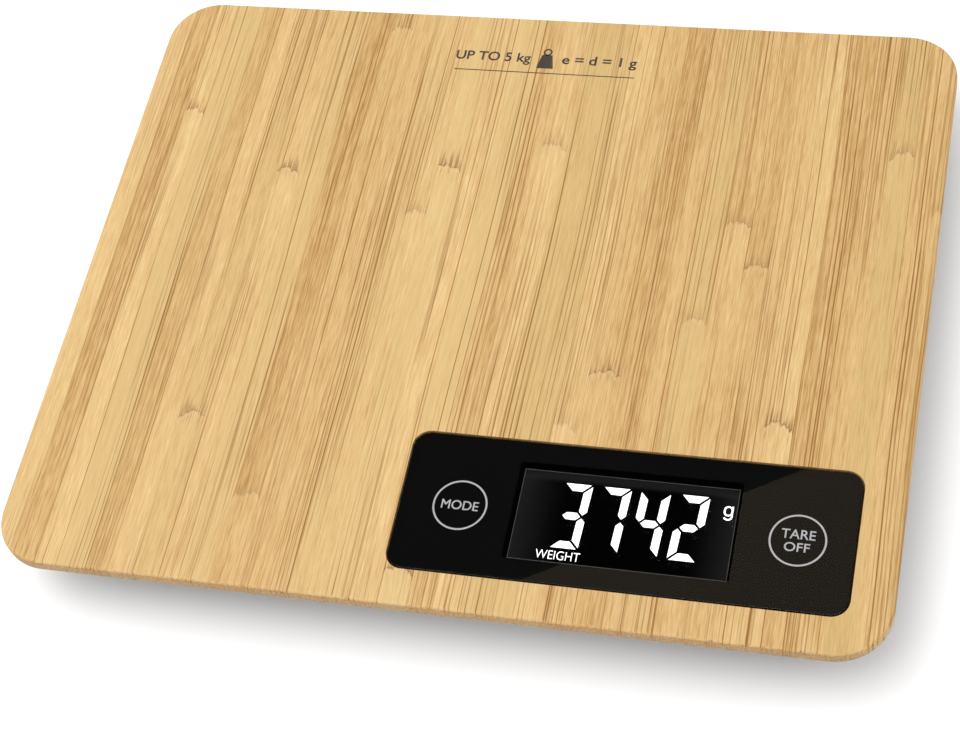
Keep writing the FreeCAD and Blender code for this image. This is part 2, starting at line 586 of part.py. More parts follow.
# ---------------------------------------------------------------- load cells and feet
def load_cell(corner, x, y, right):
    """Spring-steel plate: a frame with a tongue that carries the foot; its root points inwards."""
    slab = block("cell_slab_" + corner, x, y, SENSOR_LOW, "sensor_size", "sensor_size", SENSOR_TOP)
    slot_length = "(sensor_size - sensor_bar - sensor_root)"
    slot_x = f"{x} + {right} * (sensor_root - sensor_bar) / 2"
    slot = block("cell_slot_" + corner, slot_x, y, f"{SENSOR_LOW} - 1", slot_length,
                 "sensor_tongue + 2 * sensor_slot", f"{SENSOR_TOP} + 1")
    tongue = block("cell_tongue_" + corner, f"{slot_x} - {right} * sensor_slot", y, SENSOR_LOW, slot_length,
                   "sensor_tongue", SENSOR_TOP)
    holes = [rod("cell_hole_" + corner, x, y, f"{SENSOR_LOW} - 1", "small_screw_diameter + 2 * part_gap",
                 f"{SENSOR_TOP} + 1")]
    for bar, offset in (("inner", -1), ("outer", 1)):
        bar_y = f"{y} + {offset} * (sensor_size + sensor_tongue + 2 * sensor_slot) / 4"
        holes.append(rod(f"cell_hole_{bar}_{corner}", cell_screw_x(x, right), bar_y, f"{SENSOR_LOW} - 1",
                         "small_screw_diameter + part_gap", f"{SENSOR_TOP} + 1"))
    frame = cut("cell_frame_" + corner, slab, [slot])
    node("load_cell_" + corner, cut("cell_" + corner, fuse("cell_blank_" + corner, [frame, tongue]), holes))


def foot(corner, x, y):
    """Plastic foot with a boss under the load cell's tongue, its rubber pad and its screw."""
    body = doc.addObject("PartDesign::Body", "foot_disc_" + corner)
    disc = pad(body, "disc_" + corner, circle(flat_sketch(body, "disc_outline_" + corner), "foot_diameter"),
               "foot_disc_top - foot_rim")
    dress(body, "PartDesign::Fillet", "disc_rounding_" + corner, disc, level_faces(disc, (0.0,)),
          {"Radius": "foot_rounding"})
    place(body, x, y, "foot_rim")
    boss = rod("foot_boss_" + corner, x, y, "foot_disc_top - 1", "foot_boss_diameter", SENSOR_LOW)
    recess = rod("pad_recess_" + corner, x, y, "foot_rim - 1", "pad_diameter + part_gap", "pad_thickness")
    thread = rod("foot_thread_" + corner, x, y, "pad_thickness + 1", "small_screw_diameter", f"{SENSOR_LOW} + 1")
    node("foot_" + corner, cut("foot_cut_" + corner, fuse("foot_solid_" + corner, [body, boss]), [recess, thread]))
    rubber = doc.addObject("PartDesign::Body", "pad_body_" + corner)
    rubber_disc = pad(rubber, "rubber_" + corner, circle(flat_sketch(rubber, "rubber_outline_" + corner),
                                                         "pad_diameter"), "pad_thickness")
    dress(rubber, "PartDesign::Fillet", "rubber_rounding_" + corner, rubber_disc, level_faces(rubber_disc, (0.0,)),
          {"Radius": "foot_rim / 2"})
    place(rubber, x, y, 0)
    node("foot_pad_" + corner, rubber)
    node("foot_screw_" + corner, screw("foot_screw_body_" + corner, x, y, SENSOR_TOP, "small_screw_head",
                                       "small_screw_head_height", "small_screw_diameter",
                                       f"{SENSOR_TOP} - pad_thickness - 1.5", False))


def load_cells_and_feet():
    gauges = []
    cell_screws = []
    for corner, right, back in CORNERS:
        x = mirrored(right, FOOT_X)
        y = mirrored(back, FOOT_Y)
        load_cell(corner, x, y, right)
        foot(corner, x, y)
        gauge_x = f"{x} - {right} * (sensor_size / 2 - sensor_root - 0.3 * gauge_length)"
        gauges.append(block("gauge_" + corner, gauge_x, y, SENSOR_TOP, "gauge_length", "gauge_width",
                            f"{SENSOR_TOP} + gauge_thickness"))
        for bar, offset in (("inner", -1), ("outer", 1)):
            bar_y = f"{y} + {offset} * (sensor_size + sensor_tongue + 2 * sensor_slot) / 4"
            cell_screws.append(screw(f"cell_screw_{bar}_{corner}", cell_screw_x(x, right), bar_y, SENSOR_TOP,
                                     "small_screw_head", "small_screw_head_height", "small_screw_diameter",
                                     "sensor_thickness + sensor_rise", False))
    node("strain_gauges", group("gauge_set", gauges))
    node("load_cell_screws", group("cell_screw_set", cell_screws))


# ---------------------------------------------------------------- display and circuit board
def display_module():
    """LCD glass on its light guide, in a holder that stands on the circuit board."""
    glass_y = f"({LENS_Y})"
    guide_depth = "(glass_depth - guide_ledge)"
    guide_y = f"({LENS_Y} + guide_ledge / 2)"
    node("lcd_glass", block("glass", LENS_X, glass_y, GLASS_LOW, "glass_width", "glass_depth", GLASS_TOP))
    node("light_guide", block("guide", LENS_X, guide_y, GUIDE_LOW, "glass_width - 2 * part_gap", guide_depth,
                              GLASS_LOW))
    holder_width = "(glass_width + 2 * holder_wall)"
    holder_depth = f"({guide_depth} + 2 * holder_wall + 2 * part_gap)"
    tray = block("holder_block", LENS_X, guide_y, CIRCUIT_TOP, holder_width, holder_depth,
                 f"{CARRIER_LOW} - part_gap")
    pocket = block("holder_pocket", LENS_X, guide_y, GUIDE_LOW, "glass_width", f"{guide_depth} + 2 * part_gap",
                   f"{CARRIER_LOW} + 1")
    notches = []
    leds = []
    for name, offset in (("front", -1), ("back", 1)):
        led_x = f"{LENS_X} - glass_width / 2 - led_depth / 2"
        led_y = f"{guide_y} + {offset} * {guide_depth} / 4"
        notches.append(block("led_notch_" + name, f"{led_x} - 1", led_y, f"{CIRCUIT_TOP} - 1", "led_depth + 2",
                             "led_length + 2 * part_gap", f"{CARRIER_LOW} + 1"))
        leds.append(block("led_" + name, led_x, led_y, CIRCUIT_TOP, "led_depth", "led_length",
                          f"{GUIDE_LOW} + guide_height / 2"))
    node("lcd_holder", cut("holder", tray, [pocket] + notches))
    node("backlight_leds", group("led_pair", leds))
    ledge_y = f"{LENS_Y} - glass_depth / 2 + guide_ledge / 2 - holder_wall / 2 - part_gap / 2"
    node("lcd_connector", block("zebra", LENS_X, ledge_y, CIRCUIT_TOP, "glass_width - 4",
                                "guide_ledge - holder_wall - part_gap", GLASS_LOW))


def header_places():
    """Wire headers under the circuit board: name, centre and which way they face."""
    back_y = f"({CIRCUIT_BACK} - header_length / 2)"
    return [("front_left", f"{CIRCUIT_LEFT} + header_length / 2", LENS_Y),
            ("back_left", f"{CIRCUIT_LEFT} + 2 * header_width", back_y),
            ("battery", f"{CIRCUIT_LEFT} + 4 * header_width", back_y),
            ("back_right", f"{CIRCUIT_LEFT} + 5.6 * header_width", back_y),
            ("front_right", f"{FOOT_X} - sensor_size / 2 - lead_run - header_length / 2",
             f"-{FOOT_Y} - header_width / 2")]


def main_circuit():
    """Circuit board under the display, with its chip, small components, headers and screws."""
    sheet_board = plate("circuit_blank", LENS_X, LENS_Y, CIRCUIT_LOW, CIRCUIT_WIDTH, "circuit_depth", CIRCUIT_TOP,
                        "1.5")
    screws = []
    holes = []
    for corner, x, y in circuit_screw_places():
        holes.append(rod("circuit_hole_" + corner, x, y, f"{CIRCUIT_LOW} - 1", "small_screw_diameter + part_gap",
                         f"{CIRCUIT_TOP} + 1"))
        screws.append(screw("circuit_screw_" + corner, x, y, CIRCUIT_LOW, "small_screw_head",
                            "small_screw_head_height", "small_screw_diameter",
                            "circuit_thickness + board_drop - part_gap", True))
    node("main_circuit_board", cut("circuit", sheet_board, holes))
    node("circuit_board_screws", group("circuit_screw_set", screws))
    chip_x = f"{CIRCUIT_LEFT} + 2.6 * header_width"
    chip_y = f"{LENS_Y} - circuit_depth / 6"
    node("microcontroller", block("chip", chip_x, chip_y, f"{CIRCUIT_LOW} - chip_height", "chip_size", "chip_size",
                                  CIRCUIT_LOW))
    small = []
    for column in range(4):
        for row in (-1, 1):
            part_x = f"{chip_x} + ({column} - 1.5) * 3"
            part_y = f"{chip_y} + {row} * (chip_size / 2 + 2)"
            small.append(block(f"component_{column}_{row + 1}", part_x, part_y, f"{CIRCUIT_LOW} - chip_height / 2",
                               "1.2", "2", CIRCUIT_LOW))
    small.append(block("crystal", f"{chip_x} + chip_size + 3", chip_y, f"{CIRCUIT_LOW} - chip_height", "3.2", "8",
                       CIRCUIT_LOW))
    node("small_components", group("component_set", small))
    headers = []
    for name, x, y in header_places():
        headers.append(block("header_" + name, x, y, f"{CIRCUIT_LOW} - header_height", "header_length",
                             "header_width", CIRCUIT_LOW))
    node("wire_headers", group("header_set", headers))


def coil(name, diameter, wire, length, turns):
    """Open coil spring that stands on its body's XY plane and is as long as its ends need."""
    body = doc.addObject("PartDesign::Body", name)
    section = body.newObject("Sketcher::SketchObject", name + "_section")
    section.AttachmentSupport = [(origin_plane(body, "XZ_Plane"), "")]
    section.MapMode = "FlatFace"
    section.addGeometry(Part.Circle(V(number(diameter) / 2, number(wire) / 2, 0), V(0, 0, 1), number(wire) / 2))
    thick = section.addConstraint(Sketcher.Constraint("Diameter", 0, number(wire)))
    reach = section.addConstraint(Sketcher.Constraint("DistanceX", -1, 1, 0, 3, number(diameter) / 2))
    lift = section.addConstraint(Sketcher.Constraint("DistanceY", -1, 1, 0, 3, number(wire) / 2))
    bind(section, {f"Constraints[{thick}]": wire, f"Constraints[{reach}]": f"({diameter}) / 2",
                   f"Constraints[{lift}]": f"({wire}) / 2"})
    doc.recompute()
    helix = body.newObject("PartDesign::AdditiveHelix", name + "_helix")
    helix.Profile = section
    helix.ReferenceAxis = (section, ["V_Axis"])
    helix.Mode = "height-turns-angle"
    bind(helix, {"Height": f"({length}) - ({wire})", "Turns": turns})
    return body


def touch_springs():
    """Coil springs that lead the touch keys' signal from the lens to the circuit board."""
    for key, x in key_places():
        spring = coil("spring_" + key, "spring_diameter", "spring_wire", f"{MASK_LOW} - {CIRCUIT_TOP}",
                      "spring_turns")
        place(spring, x, LENS_Y, CIRCUIT_TOP)
        node("touch_spring_" + key, spring)


# ---------------------------------------------------------------- batteries and their door
def batteries():
    """Three cells side by side, each turned against its neighbour, with contact springs and plates."""
    springs = []
    for index, y, button in battery_rows():
        button_end = mirrored(button, f"{BAY_LENGTH} / 2 - contact_thickness")
        can_length = "battery_length - battery_button_height"
        can_start = (f"{button_end} - battery_length" if button > 0 else f"{button_end} + battery_button_height")
        button_start = f"{button_end} - battery_button_height" if button > 0 else button_end
        node(f"battery_cell_{index}", fuse(f"cell_{index}", [
            cross_rod(f"can_{index}", can_start, y, BATTERY_Z, "battery_diameter", can_length),
            cross_rod(f"button_{index}", button_start, y, BATTERY_Z, "battery_button", "battery_button_height")]))
        spring = coil(f"contact_spring_{index}", "contact_spring_diameter", "contact_spring_wire",
                      "contact_spring_length", "3")
        spring.Placement = FreeCAD.Placement(V(), FreeCAD.Rotation(V(0, 1, 0), 90 * button))
        place(spring, mirrored(-button, f"{BAY_LENGTH} / 2 - contact_thickness"), y, BATTERY_Z)
        springs.append(spring)
    node("battery_springs", group("contact_springs", springs))
    plates = []
    low = f"{BATTERY_Z} - contact_height / 2"
    high = f"{BATTERY_Z} + contact_height / 2"
    single = "contact_height"
    double = "(battery_pitch + contact_height)"
    end_x = f"({BAY_LENGTH} / 2 - contact_thickness / 2)"
    for side, sign in (("left", -1), ("right", 1)):
        plates.append(block(f"plate_single_{side}", mirrored(sign, end_x), f"{BAY_Y} + {sign} * battery_pitch", low,
                            "contact_thickness", single, high))
        plates.append(block(f"plate_double_{side}", mirrored(sign, end_x), f"{BAY_Y} - {sign} * battery_pitch / 2",
                            low, "contact_thickness", double, high))
    node("battery_plates", group("contact_plates", plates))


def battery_door():
    """Flush door on two trunnion pins at its back edge, with a latch tongue at its front edge."""
    width = f"({BAY_LENGTH} + 2 * door_margin)"
    depth = f"({BAY_DEPTH} + 2 * door_margin)"
    solid = [plate("door_plate", 0, BAY_Y, "ground_gap", width, depth, DOOR_TOP, "0.8")]
    for side, start in (("left", f"-{width} / 2 - hinge_pin_length + door_gap"), ("right", f"{width} / 2 - 1")):
        solid.append(cross_rod("hinge_pin_" + side, start, HINGE_Y, HINGE_Z, "hinge_pin_diameter",
                               "hinge_pin_length - door_gap + 1"))
    tongue_y = f"({BAY_FRONT} - latch_thickness / 2 + part_gap)"
    solid.append(block("latch_tongue", 0, tongue_y, f"{DOOR_TOP} - 0.5", "latch_width", "latch_thickness",
                       f"{DOOR_TOP} + latch_height"))
    slots = []
    for line in range(5):
        slots.append(block(f"grip_line_{line}", 0, f"{BAY_FRONT} + 3 + {line} * 1.6", "ground_gap - 1",
                           "grip_length - 2", "0.7", "ground_gap + 0.4"))
    node("battery_door", cut("door", fuse("door_solid", solid), slots))


# ---------------------------------------------------------------- leads
def offset_route(points, offset):
    """The same run of straight lines, moved sideways by offset to the left of its direction."""
    normals = []
    for start, end in zip(points, points[1:]):
        along = (end - start).normalize()
        normals.append(V(-along.y, along.x, 0))
    moved = [points[0] + normals[0] * offset]
    for point, before, after in zip(points[1:-1], normals, normals[1:]):
        middle = before + after
        moved.append(point + middle * (2 * offset / middle.dot(middle)))
    moved.append(points[-1] + normals[-1] * offset)
    return moved


def rounded_path(points, centre_points):
    """Straight runs joined by tangent arcs; side by side wires turn about the same centres."""
    edges = []
    start = points[0]
    for index in range(1, len(points) - 1):
        before = (points[index] - points[index - 1]).normalize()
        after = (points[index + 1] - points[index]).normalize()
        half_turn = before.getAngle(after) / 2
        runs = [(centre_points[index] - centre_points[index - 1]).Length,
                (centre_points[index + 1] - centre_points[index]).Length]
        radius = 0.45 * min(runs) / math.tan(half_turn)
        side = 1 if before.cross(after).z > 0 else -1
        to_left = V(-before.y, before.x, 0)
        shift = (points[index] - centre_points[index]).dot(to_left)
        radius = radius - side * shift
        reach = radius * math.tan(half_turn)
        arc_start = points[index] - before * reach
        arc_end = points[index] + after * reach
        bisector = (after - before).normalize()
        middle = points[index] + bisector * (radius / math.cos(half_turn) - radius)
        edges.append(Part.LineSegment(start, arc_start).toShape())
        edges.append(Part.Arc(arc_start, middle, arc_end).toShape())
        start = arc_end
    edges.append(Part.LineSegment(start, points[-1]).toShape())
    return Part.Wire(edges)


def lead(label, corners, count):
    """A flat lead of separate insulated wires along one route, at the wires' level."""
    level = number(WIRE_Z)
    centre = [V(number(x), number(y), level) for x, y in corners]
    wires = []
    for index in range(count):
        offset = (index - (count - 1) / 2) * number("wire_pitch")
        path = rounded_path(offset_route(centre, offset), centre)
        direction = path.Edges[0].Curve.Direction
        section = Part.Wire([Part.Circle(path.Edges[0].Vertexes[0].Point, direction,
                                         number("wire_diameter") / 2).toShape()])
        tube = path.makePipeShell([section], True, False)
        expected = path.Length * math.pi * number("wire_diameter") ** 2 / 4
        assert abs(tube.Volume - expected) < 0.01 * expected
        wires.append(tube)
    feature = doc.addObject("Part::Feature", label + "_wires")
    feature.Shape = Part.Compound(wires) if count > 1 else wires[0]
    node(label, feature)


def leads():
    """Each load cell's three wires and the two battery wires, from where they start to their header."""
    places = {name: (x, y) for name, x, y in header_places()}
    start_x = f"({FOOT_X} - sensor_size / 2 + sensor_root / 2)"
    left_aisle = f"(({FOOT_X} - sensor_size / 2 + {BAY_LENGTH} / 2 + case_wall) / 2)"
    for side, sign, bend in (("left", -1, (1 / 4, 2 / 3)), ("right", 1, (5 / 12, 7 / 12))):
        header_x, header_y = places["front_" + side]
        begin = mirrored(sign, start_x)
        end = f"({header_x} + {sign} * header_length / 2)"
        first, second = (f"{begin} + {share:.6f} * ({end} - {begin})" for share in bend)
        lead("load_cell_lead_front_" + side, (
            (begin, f"-{FOOT_Y}"), (first, f"-{FOOT_Y}"), (second, header_y), (end, header_y)), 3)
    for side, sign in (("left", -1), ("right", 1)):
        header_x, header_y = places["back_" + side]
        aisle = mirrored(sign, left_aisle)
        entry = f"({CIRCUIT_BACK})"
        lead("load_cell_lead_back_" + side, (
            (mirrored(sign, start_x), FOOT_Y),
            (mirrored(sign, f"{start_x} - 14"), FOOT_Y),
            (aisle, f"{FOOT_Y} - 20"),
            (aisle, f"{BAY_FRONT}"),
            (f"({aisle} + {header_x}) / 2", f"{entry} + 16"),
            (header_x, f"{entry} + 11"),
            (header_x, entry)), 3)
    header_x, header_y = places["battery"]
    for name, sign, shift in (("positive", -1, "-1"), ("negative", 1, "1")):
        wall = mirrored(sign, f"{BAY_LENGTH} / 2")
        aisle = mirrored(sign, f"({BAY_LENGTH} / 2 + case_wall + 4)")
        lead("battery_lead_" + name, (
            (wall, f"{BAY_Y} + {sign} * battery_pitch"),
            (aisle, f"{BAY_Y} + {sign} * battery_pitch"),
            (aisle, f"{BAY_FRONT} - 6"),
            (f"{header_x} + {shift}", f"{CIRCUIT_BACK} + 20"),
            (f"{header_x} + {shift}", f"{CIRCUIT_BACK}")), 1)


# ---------------------------------------------------------------- build, check and write
def check():
    """Stop unless every feature computed and every node is a valid shape."""
    for thing in doc.Objects:
        if {"Invalid", "Error"} & set(thing.State):
            raise RuntimeError(f"{thing.Label} did not compute: {thing.State}")
    for label, piece in nodes.items():
        if piece.Shape.isNull() or not piece.Shape.isValid():
            raise RuntimeError(f"{label} is not a valid shape")


def write():
    os.makedirs("parts", exist_ok=True)
    for label, piece in nodes.items():
        piece.Shape.exportStep(f"parts/{label}.step")
        box = piece.Shape.BoundBox
        print(f"{label:28s} {len(piece.Shape.Solids):2d} solids {piece.Shape.Volume:10.1f} mm3 "
              f"z {box.ZMin:6.2f} to {box.ZMax:6.2f}")


bamboo_platform()
platform_tape()
display_lens()
lens_mask()
carrier_frame()
lower_housing()
case_screws()
load_cells_and_feet()
display_module()
main_circuit()
touch_springs()
batteries()
battery_door()
leads()
doc.recompute()
check()
write()
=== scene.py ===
# %% [markdown]
# # A slim bamboo kitchen scale
#
# This lesson dresses a kitchen scale that already exists as an engineering model.
# The real one is a bamboo board on a flat plastic case. A strip of glass is let into
# the board at the front right, with two printed touch keys and a lit display behind it.
# The engineering model fixes every size, so Blender adds what can be seen but not
# measured: the grain of the bamboo, the depth of the glass, the light of the digits,
# the fine texture of the plastic, and small parts such as screw heads and rubber pads.

# %% Load the engineering model
import math
import bmesh
import bpy
from mathutils import Matrix, Vector


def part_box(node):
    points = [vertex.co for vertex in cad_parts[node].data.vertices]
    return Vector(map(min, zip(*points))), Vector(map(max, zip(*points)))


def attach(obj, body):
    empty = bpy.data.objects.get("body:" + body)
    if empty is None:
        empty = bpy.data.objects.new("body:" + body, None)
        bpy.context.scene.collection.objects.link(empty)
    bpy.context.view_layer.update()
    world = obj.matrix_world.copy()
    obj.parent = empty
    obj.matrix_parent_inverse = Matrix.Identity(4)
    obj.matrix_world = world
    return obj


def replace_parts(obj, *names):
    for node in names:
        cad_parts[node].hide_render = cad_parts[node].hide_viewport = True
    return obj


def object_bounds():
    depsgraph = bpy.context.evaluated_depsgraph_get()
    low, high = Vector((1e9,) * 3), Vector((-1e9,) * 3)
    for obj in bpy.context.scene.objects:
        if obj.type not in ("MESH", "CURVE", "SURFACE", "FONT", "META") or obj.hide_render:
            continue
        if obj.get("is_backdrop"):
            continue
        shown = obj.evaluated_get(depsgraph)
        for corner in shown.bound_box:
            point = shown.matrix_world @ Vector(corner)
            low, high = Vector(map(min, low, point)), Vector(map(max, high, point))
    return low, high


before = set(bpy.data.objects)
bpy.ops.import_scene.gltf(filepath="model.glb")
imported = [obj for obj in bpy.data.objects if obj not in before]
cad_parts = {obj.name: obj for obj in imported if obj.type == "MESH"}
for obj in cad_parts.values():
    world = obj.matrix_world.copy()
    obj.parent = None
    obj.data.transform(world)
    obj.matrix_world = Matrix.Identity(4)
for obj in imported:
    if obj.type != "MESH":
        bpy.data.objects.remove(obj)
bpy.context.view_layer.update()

MM = 0.001

# %% [markdown]
# ## The camera
#
# The scale is looked at from above its front right corner, so that the far left corner
# runs away from the eye. A camera can be turned with angles, but the three directions
# of its own axes are exact and easy to check, so its matrix is put together from them.
# The place is given from the middle of the board's top.

# %% Set up the camera
low, high = (Vector(corner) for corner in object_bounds())
board_top = Vector(((low.x + high.x) / 2, (low.y + high.y) / 2, high.z))

FOCAL_LENGTH, SENSOR_WIDTH = 81.18, 36
CAMERA_FROM_TOP = Vector((0.13359, -0.29152, 0.44916))

camera_data = bpy.data.cameras.new("camera")
camera_data.lens = FOCAL_LENGTH
camera_data.sensor_width = SENSOR_WIDTH
camera = bpy.data.objects.new("camera", camera_data)
bpy.context.scene.collection.objects.link(camera)
camera_right = Vector((0.96614, 0.19995, -0.16305))
camera_up = Vector((-0.08649, 0.84642, 0.52544))
camera_back = Vector((0.24307, -0.49354, 0.83506))
camera_turn = Matrix((camera_right, camera_up, camera_back)).transposed().to_4x4()
camera_place = board_top + CAMERA_FROM_TOP
camera.matrix_world = Matrix.Translation(camera_place) @ camera_turn
bpy.context.scene.camera = camera
print("camera at", [round(v, 3) for v in camera_place])

# %% [markdown]
# ## Sums on shader sockets
#
# A procedural finish is mostly arithmetic on patterns. Wired by hand, every plus and
# times is a Math node. Here one small class wraps a socket and lets Python's own
# operators add those nodes, so a finish reads like a formula. All other nodes come from
# a single method, which takes the node's type, its settings and its sockets.

# %% A socket that can be used in sums
class Wire:
    """A node's output. Each operator adds one Math node."""

    def __init__(self, finish, socket):
        self.finish = finish
        self.socket = socket

    def sum(self, operation, *values):
        return self.finish.add("Math", {"operation": operation}, dict(enumerate(values)))

    def other(self, name):
        return Wire(self.finish, self.socket.node.outputs[name])

    def __add__(self, value):
        return self.sum("ADD", self, value)

    def __sub__(self, value):
        return self.sum("SUBTRACT", self, value)

    def __rsub__(self, value):
        return self.sum("SUBTRACT", value, self)

    def __mul__(self, value):
        return self.sum("MULTIPLY", self, value)

    def __truediv__(self, value):
        return self.sum("DIVIDE", self, value)

    def __rtruediv__(self, value):
        return self.sum("DIVIDE", value, self)

    def __abs__(self):
        return self.sum("ABSOLUTE", self)

    def fraction(self):
        return self.sum("FRACT", self)

    __radd__ = __add__
    __rmul__ = __mul__


# %% A finish and the one method that adds its nodes
def tint(red, green, blue):
    """A colour as a screen shows it, from 0 to 255, turned into light."""
    shares = [v / 255 for v in (red, green, blue)]
    light = [v / 12.92 if v <= 0.04045 else ((v + 0.055) / 1.055) ** 2.4 for v in shares]
    return (*light, 1.0)


class Finish:
    """A material that is built up node by node on Object coordinates."""

    def __init__(self, name):
        self.material = bpy.data.materials.new(name)
        self.material.use_nodes = True
        self.tree = self.material.node_tree
        self.tree.nodes.clear()
        self.place = self.add("TexCoord", out="Object")

    def add(self, kind, settings=None, sockets=None, out=0):
        node = self.tree.nodes.new("ShaderNode" + kind)
        for name, value in (settings or {}).items():
            if name == "stops":
                self.set_stops(node.color_ramp, value)
            else:
                setattr(node, name, value)
        for name, value in (sockets or {}).items():
            if isinstance(value, Wire):
                self.tree.links.new(value.socket, node.inputs[name])
            else:
                node.inputs[name].default_value = value
        return Wire(self, node.outputs[out]) if len(node.outputs) else None

    def set_stops(self, ramp, stops):
        while len(ramp.elements) < len(stops):
            ramp.elements.new(1.0)
        for element, (position, colour) in zip(ramp.elements, stops):
            element.position = position
            element.color = colour

    def parts(self, vector):
        first = self.add("SeparateXYZ", sockets={0: vector})
        return first, first.other("Y"), first.other("Z")

    def vector(self, x, y, z):
        return self.add("CombineXYZ", sockets={0: x, 1: y, 2: z})

    def stretched(self, factors):
        return self.add("Mapping", sockets={"Vector": self.place, "Scale": factors})

    def noise(self, vector, detail=2.0, scale=1.0):
        return self.add("TexNoise", sockets={"Vector": vector, "Scale": scale, "Detail": detail})

    def cells(self, scale, out="Distance"):
        return self.add("TexVoronoi", sockets={"Vector": self.place, "Scale": scale}, out=out)

    def row(self, place, randomness, feature, out):
        """A row of cells about 1 wide: their colours, or how far off the next border is."""
        settings = {"voronoi_dimensions": "1D", "feature": feature}
        sockets = {"W": place, "Scale": 1.0, "Randomness": randomness}
        return self.add("TexVoronoi", settings, sockets, out=out)

    def rise(self, value, start, end):
        """0 at the start and 1 at the end, smoothly; the start may be the larger."""
        settings = {"interpolation_type": "SMOOTHSTEP"}
        return self.add("MapRange", settings, {"Value": value, "From Min": start, "From Max": end})

    def ramp(self, value, *stops):
        return self.add("ValToRGB", {"stops": stops}, {"Fac": value})

    def blend(self, share, first, second):
        return self.add("Mix", {"data_type": "RGBA"}, {0: share, 6: first, 7: second}, out=2)

    def either(self, share, first, second):
        return self.add("MixShader", sockets={0: share, 1: first, 2: second})

    def bump(self, height, depth, strength=1.0):
        return self.add("Bump", sockets={"Height": height, "Distance": depth, "Strength": strength})

    def shader(self, **sockets):
        named = {name.replace("_", " "): value for name, value in sockets.items()}
        return self.add("BsdfPrincipled", sockets=named)

    def done(self, shader):
        self.add("OutputMaterial", sockets={"Surface": shader})
        print("finish", self.material.name, "with", len(self.tree.nodes), "nodes")
        return self.material


# %% [markdown]
# ## The floor and the light
#
# The scale stands on a plain pale table in soft light from all round. An even white
# world gives most of it, and one wide lamp above the left adds a direction, so that the
# rounded rim and the bevel of the glass catch a thin line of light. The table can only
# be seen from above: from below it lets the eye and the light through, so that the feet
# and the screws can be looked at as well.

# %% Lay the floor
def flat_sheet(name, width, depth, place, turn, finish):
    """A single quad for the stage, which isn't part of the scale."""
    shape = bmesh.new()
    stretch = Matrix.Diagonal((width, depth, 1, 1))
    bmesh.ops.create_grid(
        shape, x_segments=1, y_segments=1, size=0.5,
        matrix=Matrix.Translation(place) @ Matrix.Rotation(turn, 4, "Z") @ stretch)
    mesh = bpy.data.meshes.new(name)
    shape.to_mesh(mesh)
    shape.free()
    sheet = bpy.data.objects.new(name, mesh)
    bpy.context.scene.collection.objects.link(sheet)
    mesh.materials.append(finish)
    sheet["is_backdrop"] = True
    return sheet


table = Finish("white_table")
table_mottle = table.noise(table.place, detail=3.0, scale=40.0)
table_colour = table.blend(table_mottle * 0.04, (0.88, 0.88, 0.88, 1.0), (0.8, 0.8, 0.8, 1.0))
table_top = table.shader(Base_Color=table_colour, Roughness=0.8)
underneath = table.add("NewGeometry", out="Backfacing")
table_open = table.add("BsdfTransparent")
table_material = table.done(table.either(underneath, table_top, table_open))
FLOOR_SIDE = 8.0
floor = flat_sheet("floor", FLOOR_SIDE, FLOOR_SIDE, (0, 0, 0), 0, table_material)
floor.visible_diffuse = False
floor.visible_shadow = False
print("floor", floor.dimensions[:2])

# %% Set the world and the lamp
ROOM_STRENGTH = 1.05
LAMP_PLACE = (-0.34, -0.20, 1.34)
LAMP_SIZE = (1.2, 0.9)
LAMP_WATTS = 11.0

bpy.context.scene.view_settings.view_transform = "Standard"
world = bpy.data.worlds.new("white_room")
bpy.context.scene.world = world
world.use_nodes = True
backdrop = world.node_tree.nodes["Background"]
backdrop.inputs["Color"].default_value = (1.0, 1.0, 1.0, 1.0)
backdrop.inputs["Strength"].default_value = ROOM_STRENGTH

lamp_data = bpy.data.lights.new("wide_lamp", "AREA")
lamp_data.shape = "RECTANGLE"
lamp_data.size, lamp_data.size_y = LAMP_SIZE
lamp_data.energy = LAMP_WATTS
lamp = bpy.data.objects.new("wide_lamp", lamp_data)
lamp.location = LAMP_PLACE
lamp.rotation_euler = (Vector((0, 0, 0)) - lamp.location).to_track_quat("-Z", "Y").to_euler()
bpy.context.scene.collection.objects.link(lamp)
print("lamp of", LAMP_WATTS, "W at", LAMP_PLACE)

# %% [markdown]
# ## What the glass reflects
#
# Black glass shows the room rather than itself. Under an even white world it would turn
# grey, so a studio hangs dark cards where the glass looks. Glass is a mirror: a line of
# sight goes down to it and up again at the same slope, which tells where each card has
# to hang. One grey card fills the whole reflection, also when the glass is looked at from
# straight above. A warmer one covers the lower right, and gives the slanting edge of
# light that makes the glass read as glass. A small black one keeps the window deep, so
# that the digits stand on black. Only reflections see the cards, so they shade nothing.

# %% Find where a line of sight lands
lens_low, lens_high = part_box("display_lens")
lens_centre = (lens_low + lens_high) / 2


def mirrored(right, back, height):
    """What the glass shows at this height, so many millimetres from its middle."""
    glass = Vector((lens_centre.x + right * MM, lens_centre.y + back * MM, lens_high.z))
    landing = glass + (glass - camera_place) * ((height - glass.z) / (camera_place.z - glass.z))
    return Vector((landing.x, landing.y, height))


def hang_card(name, width, depth, place, turn, first, second):
    """A sheet of card, cloudy between two colours, that only reflections see."""
    card = Finish(name)
    weave = card.noise(card.place, detail=3.0, scale=20.0)
    colour = card.blend(weave, first, second)
    sheet = flat_sheet(name, width, depth, place, turn, card.done(
        card.shader(Base_Color=colour, Roughness=0.9, Specular_IOR_Level=0.0)))
    sheet.visible_camera = False
    sheet.visible_diffuse = False
    sheet.visible_shadow = False
    print(name, "hangs at", [round(v, 3) for v in place])


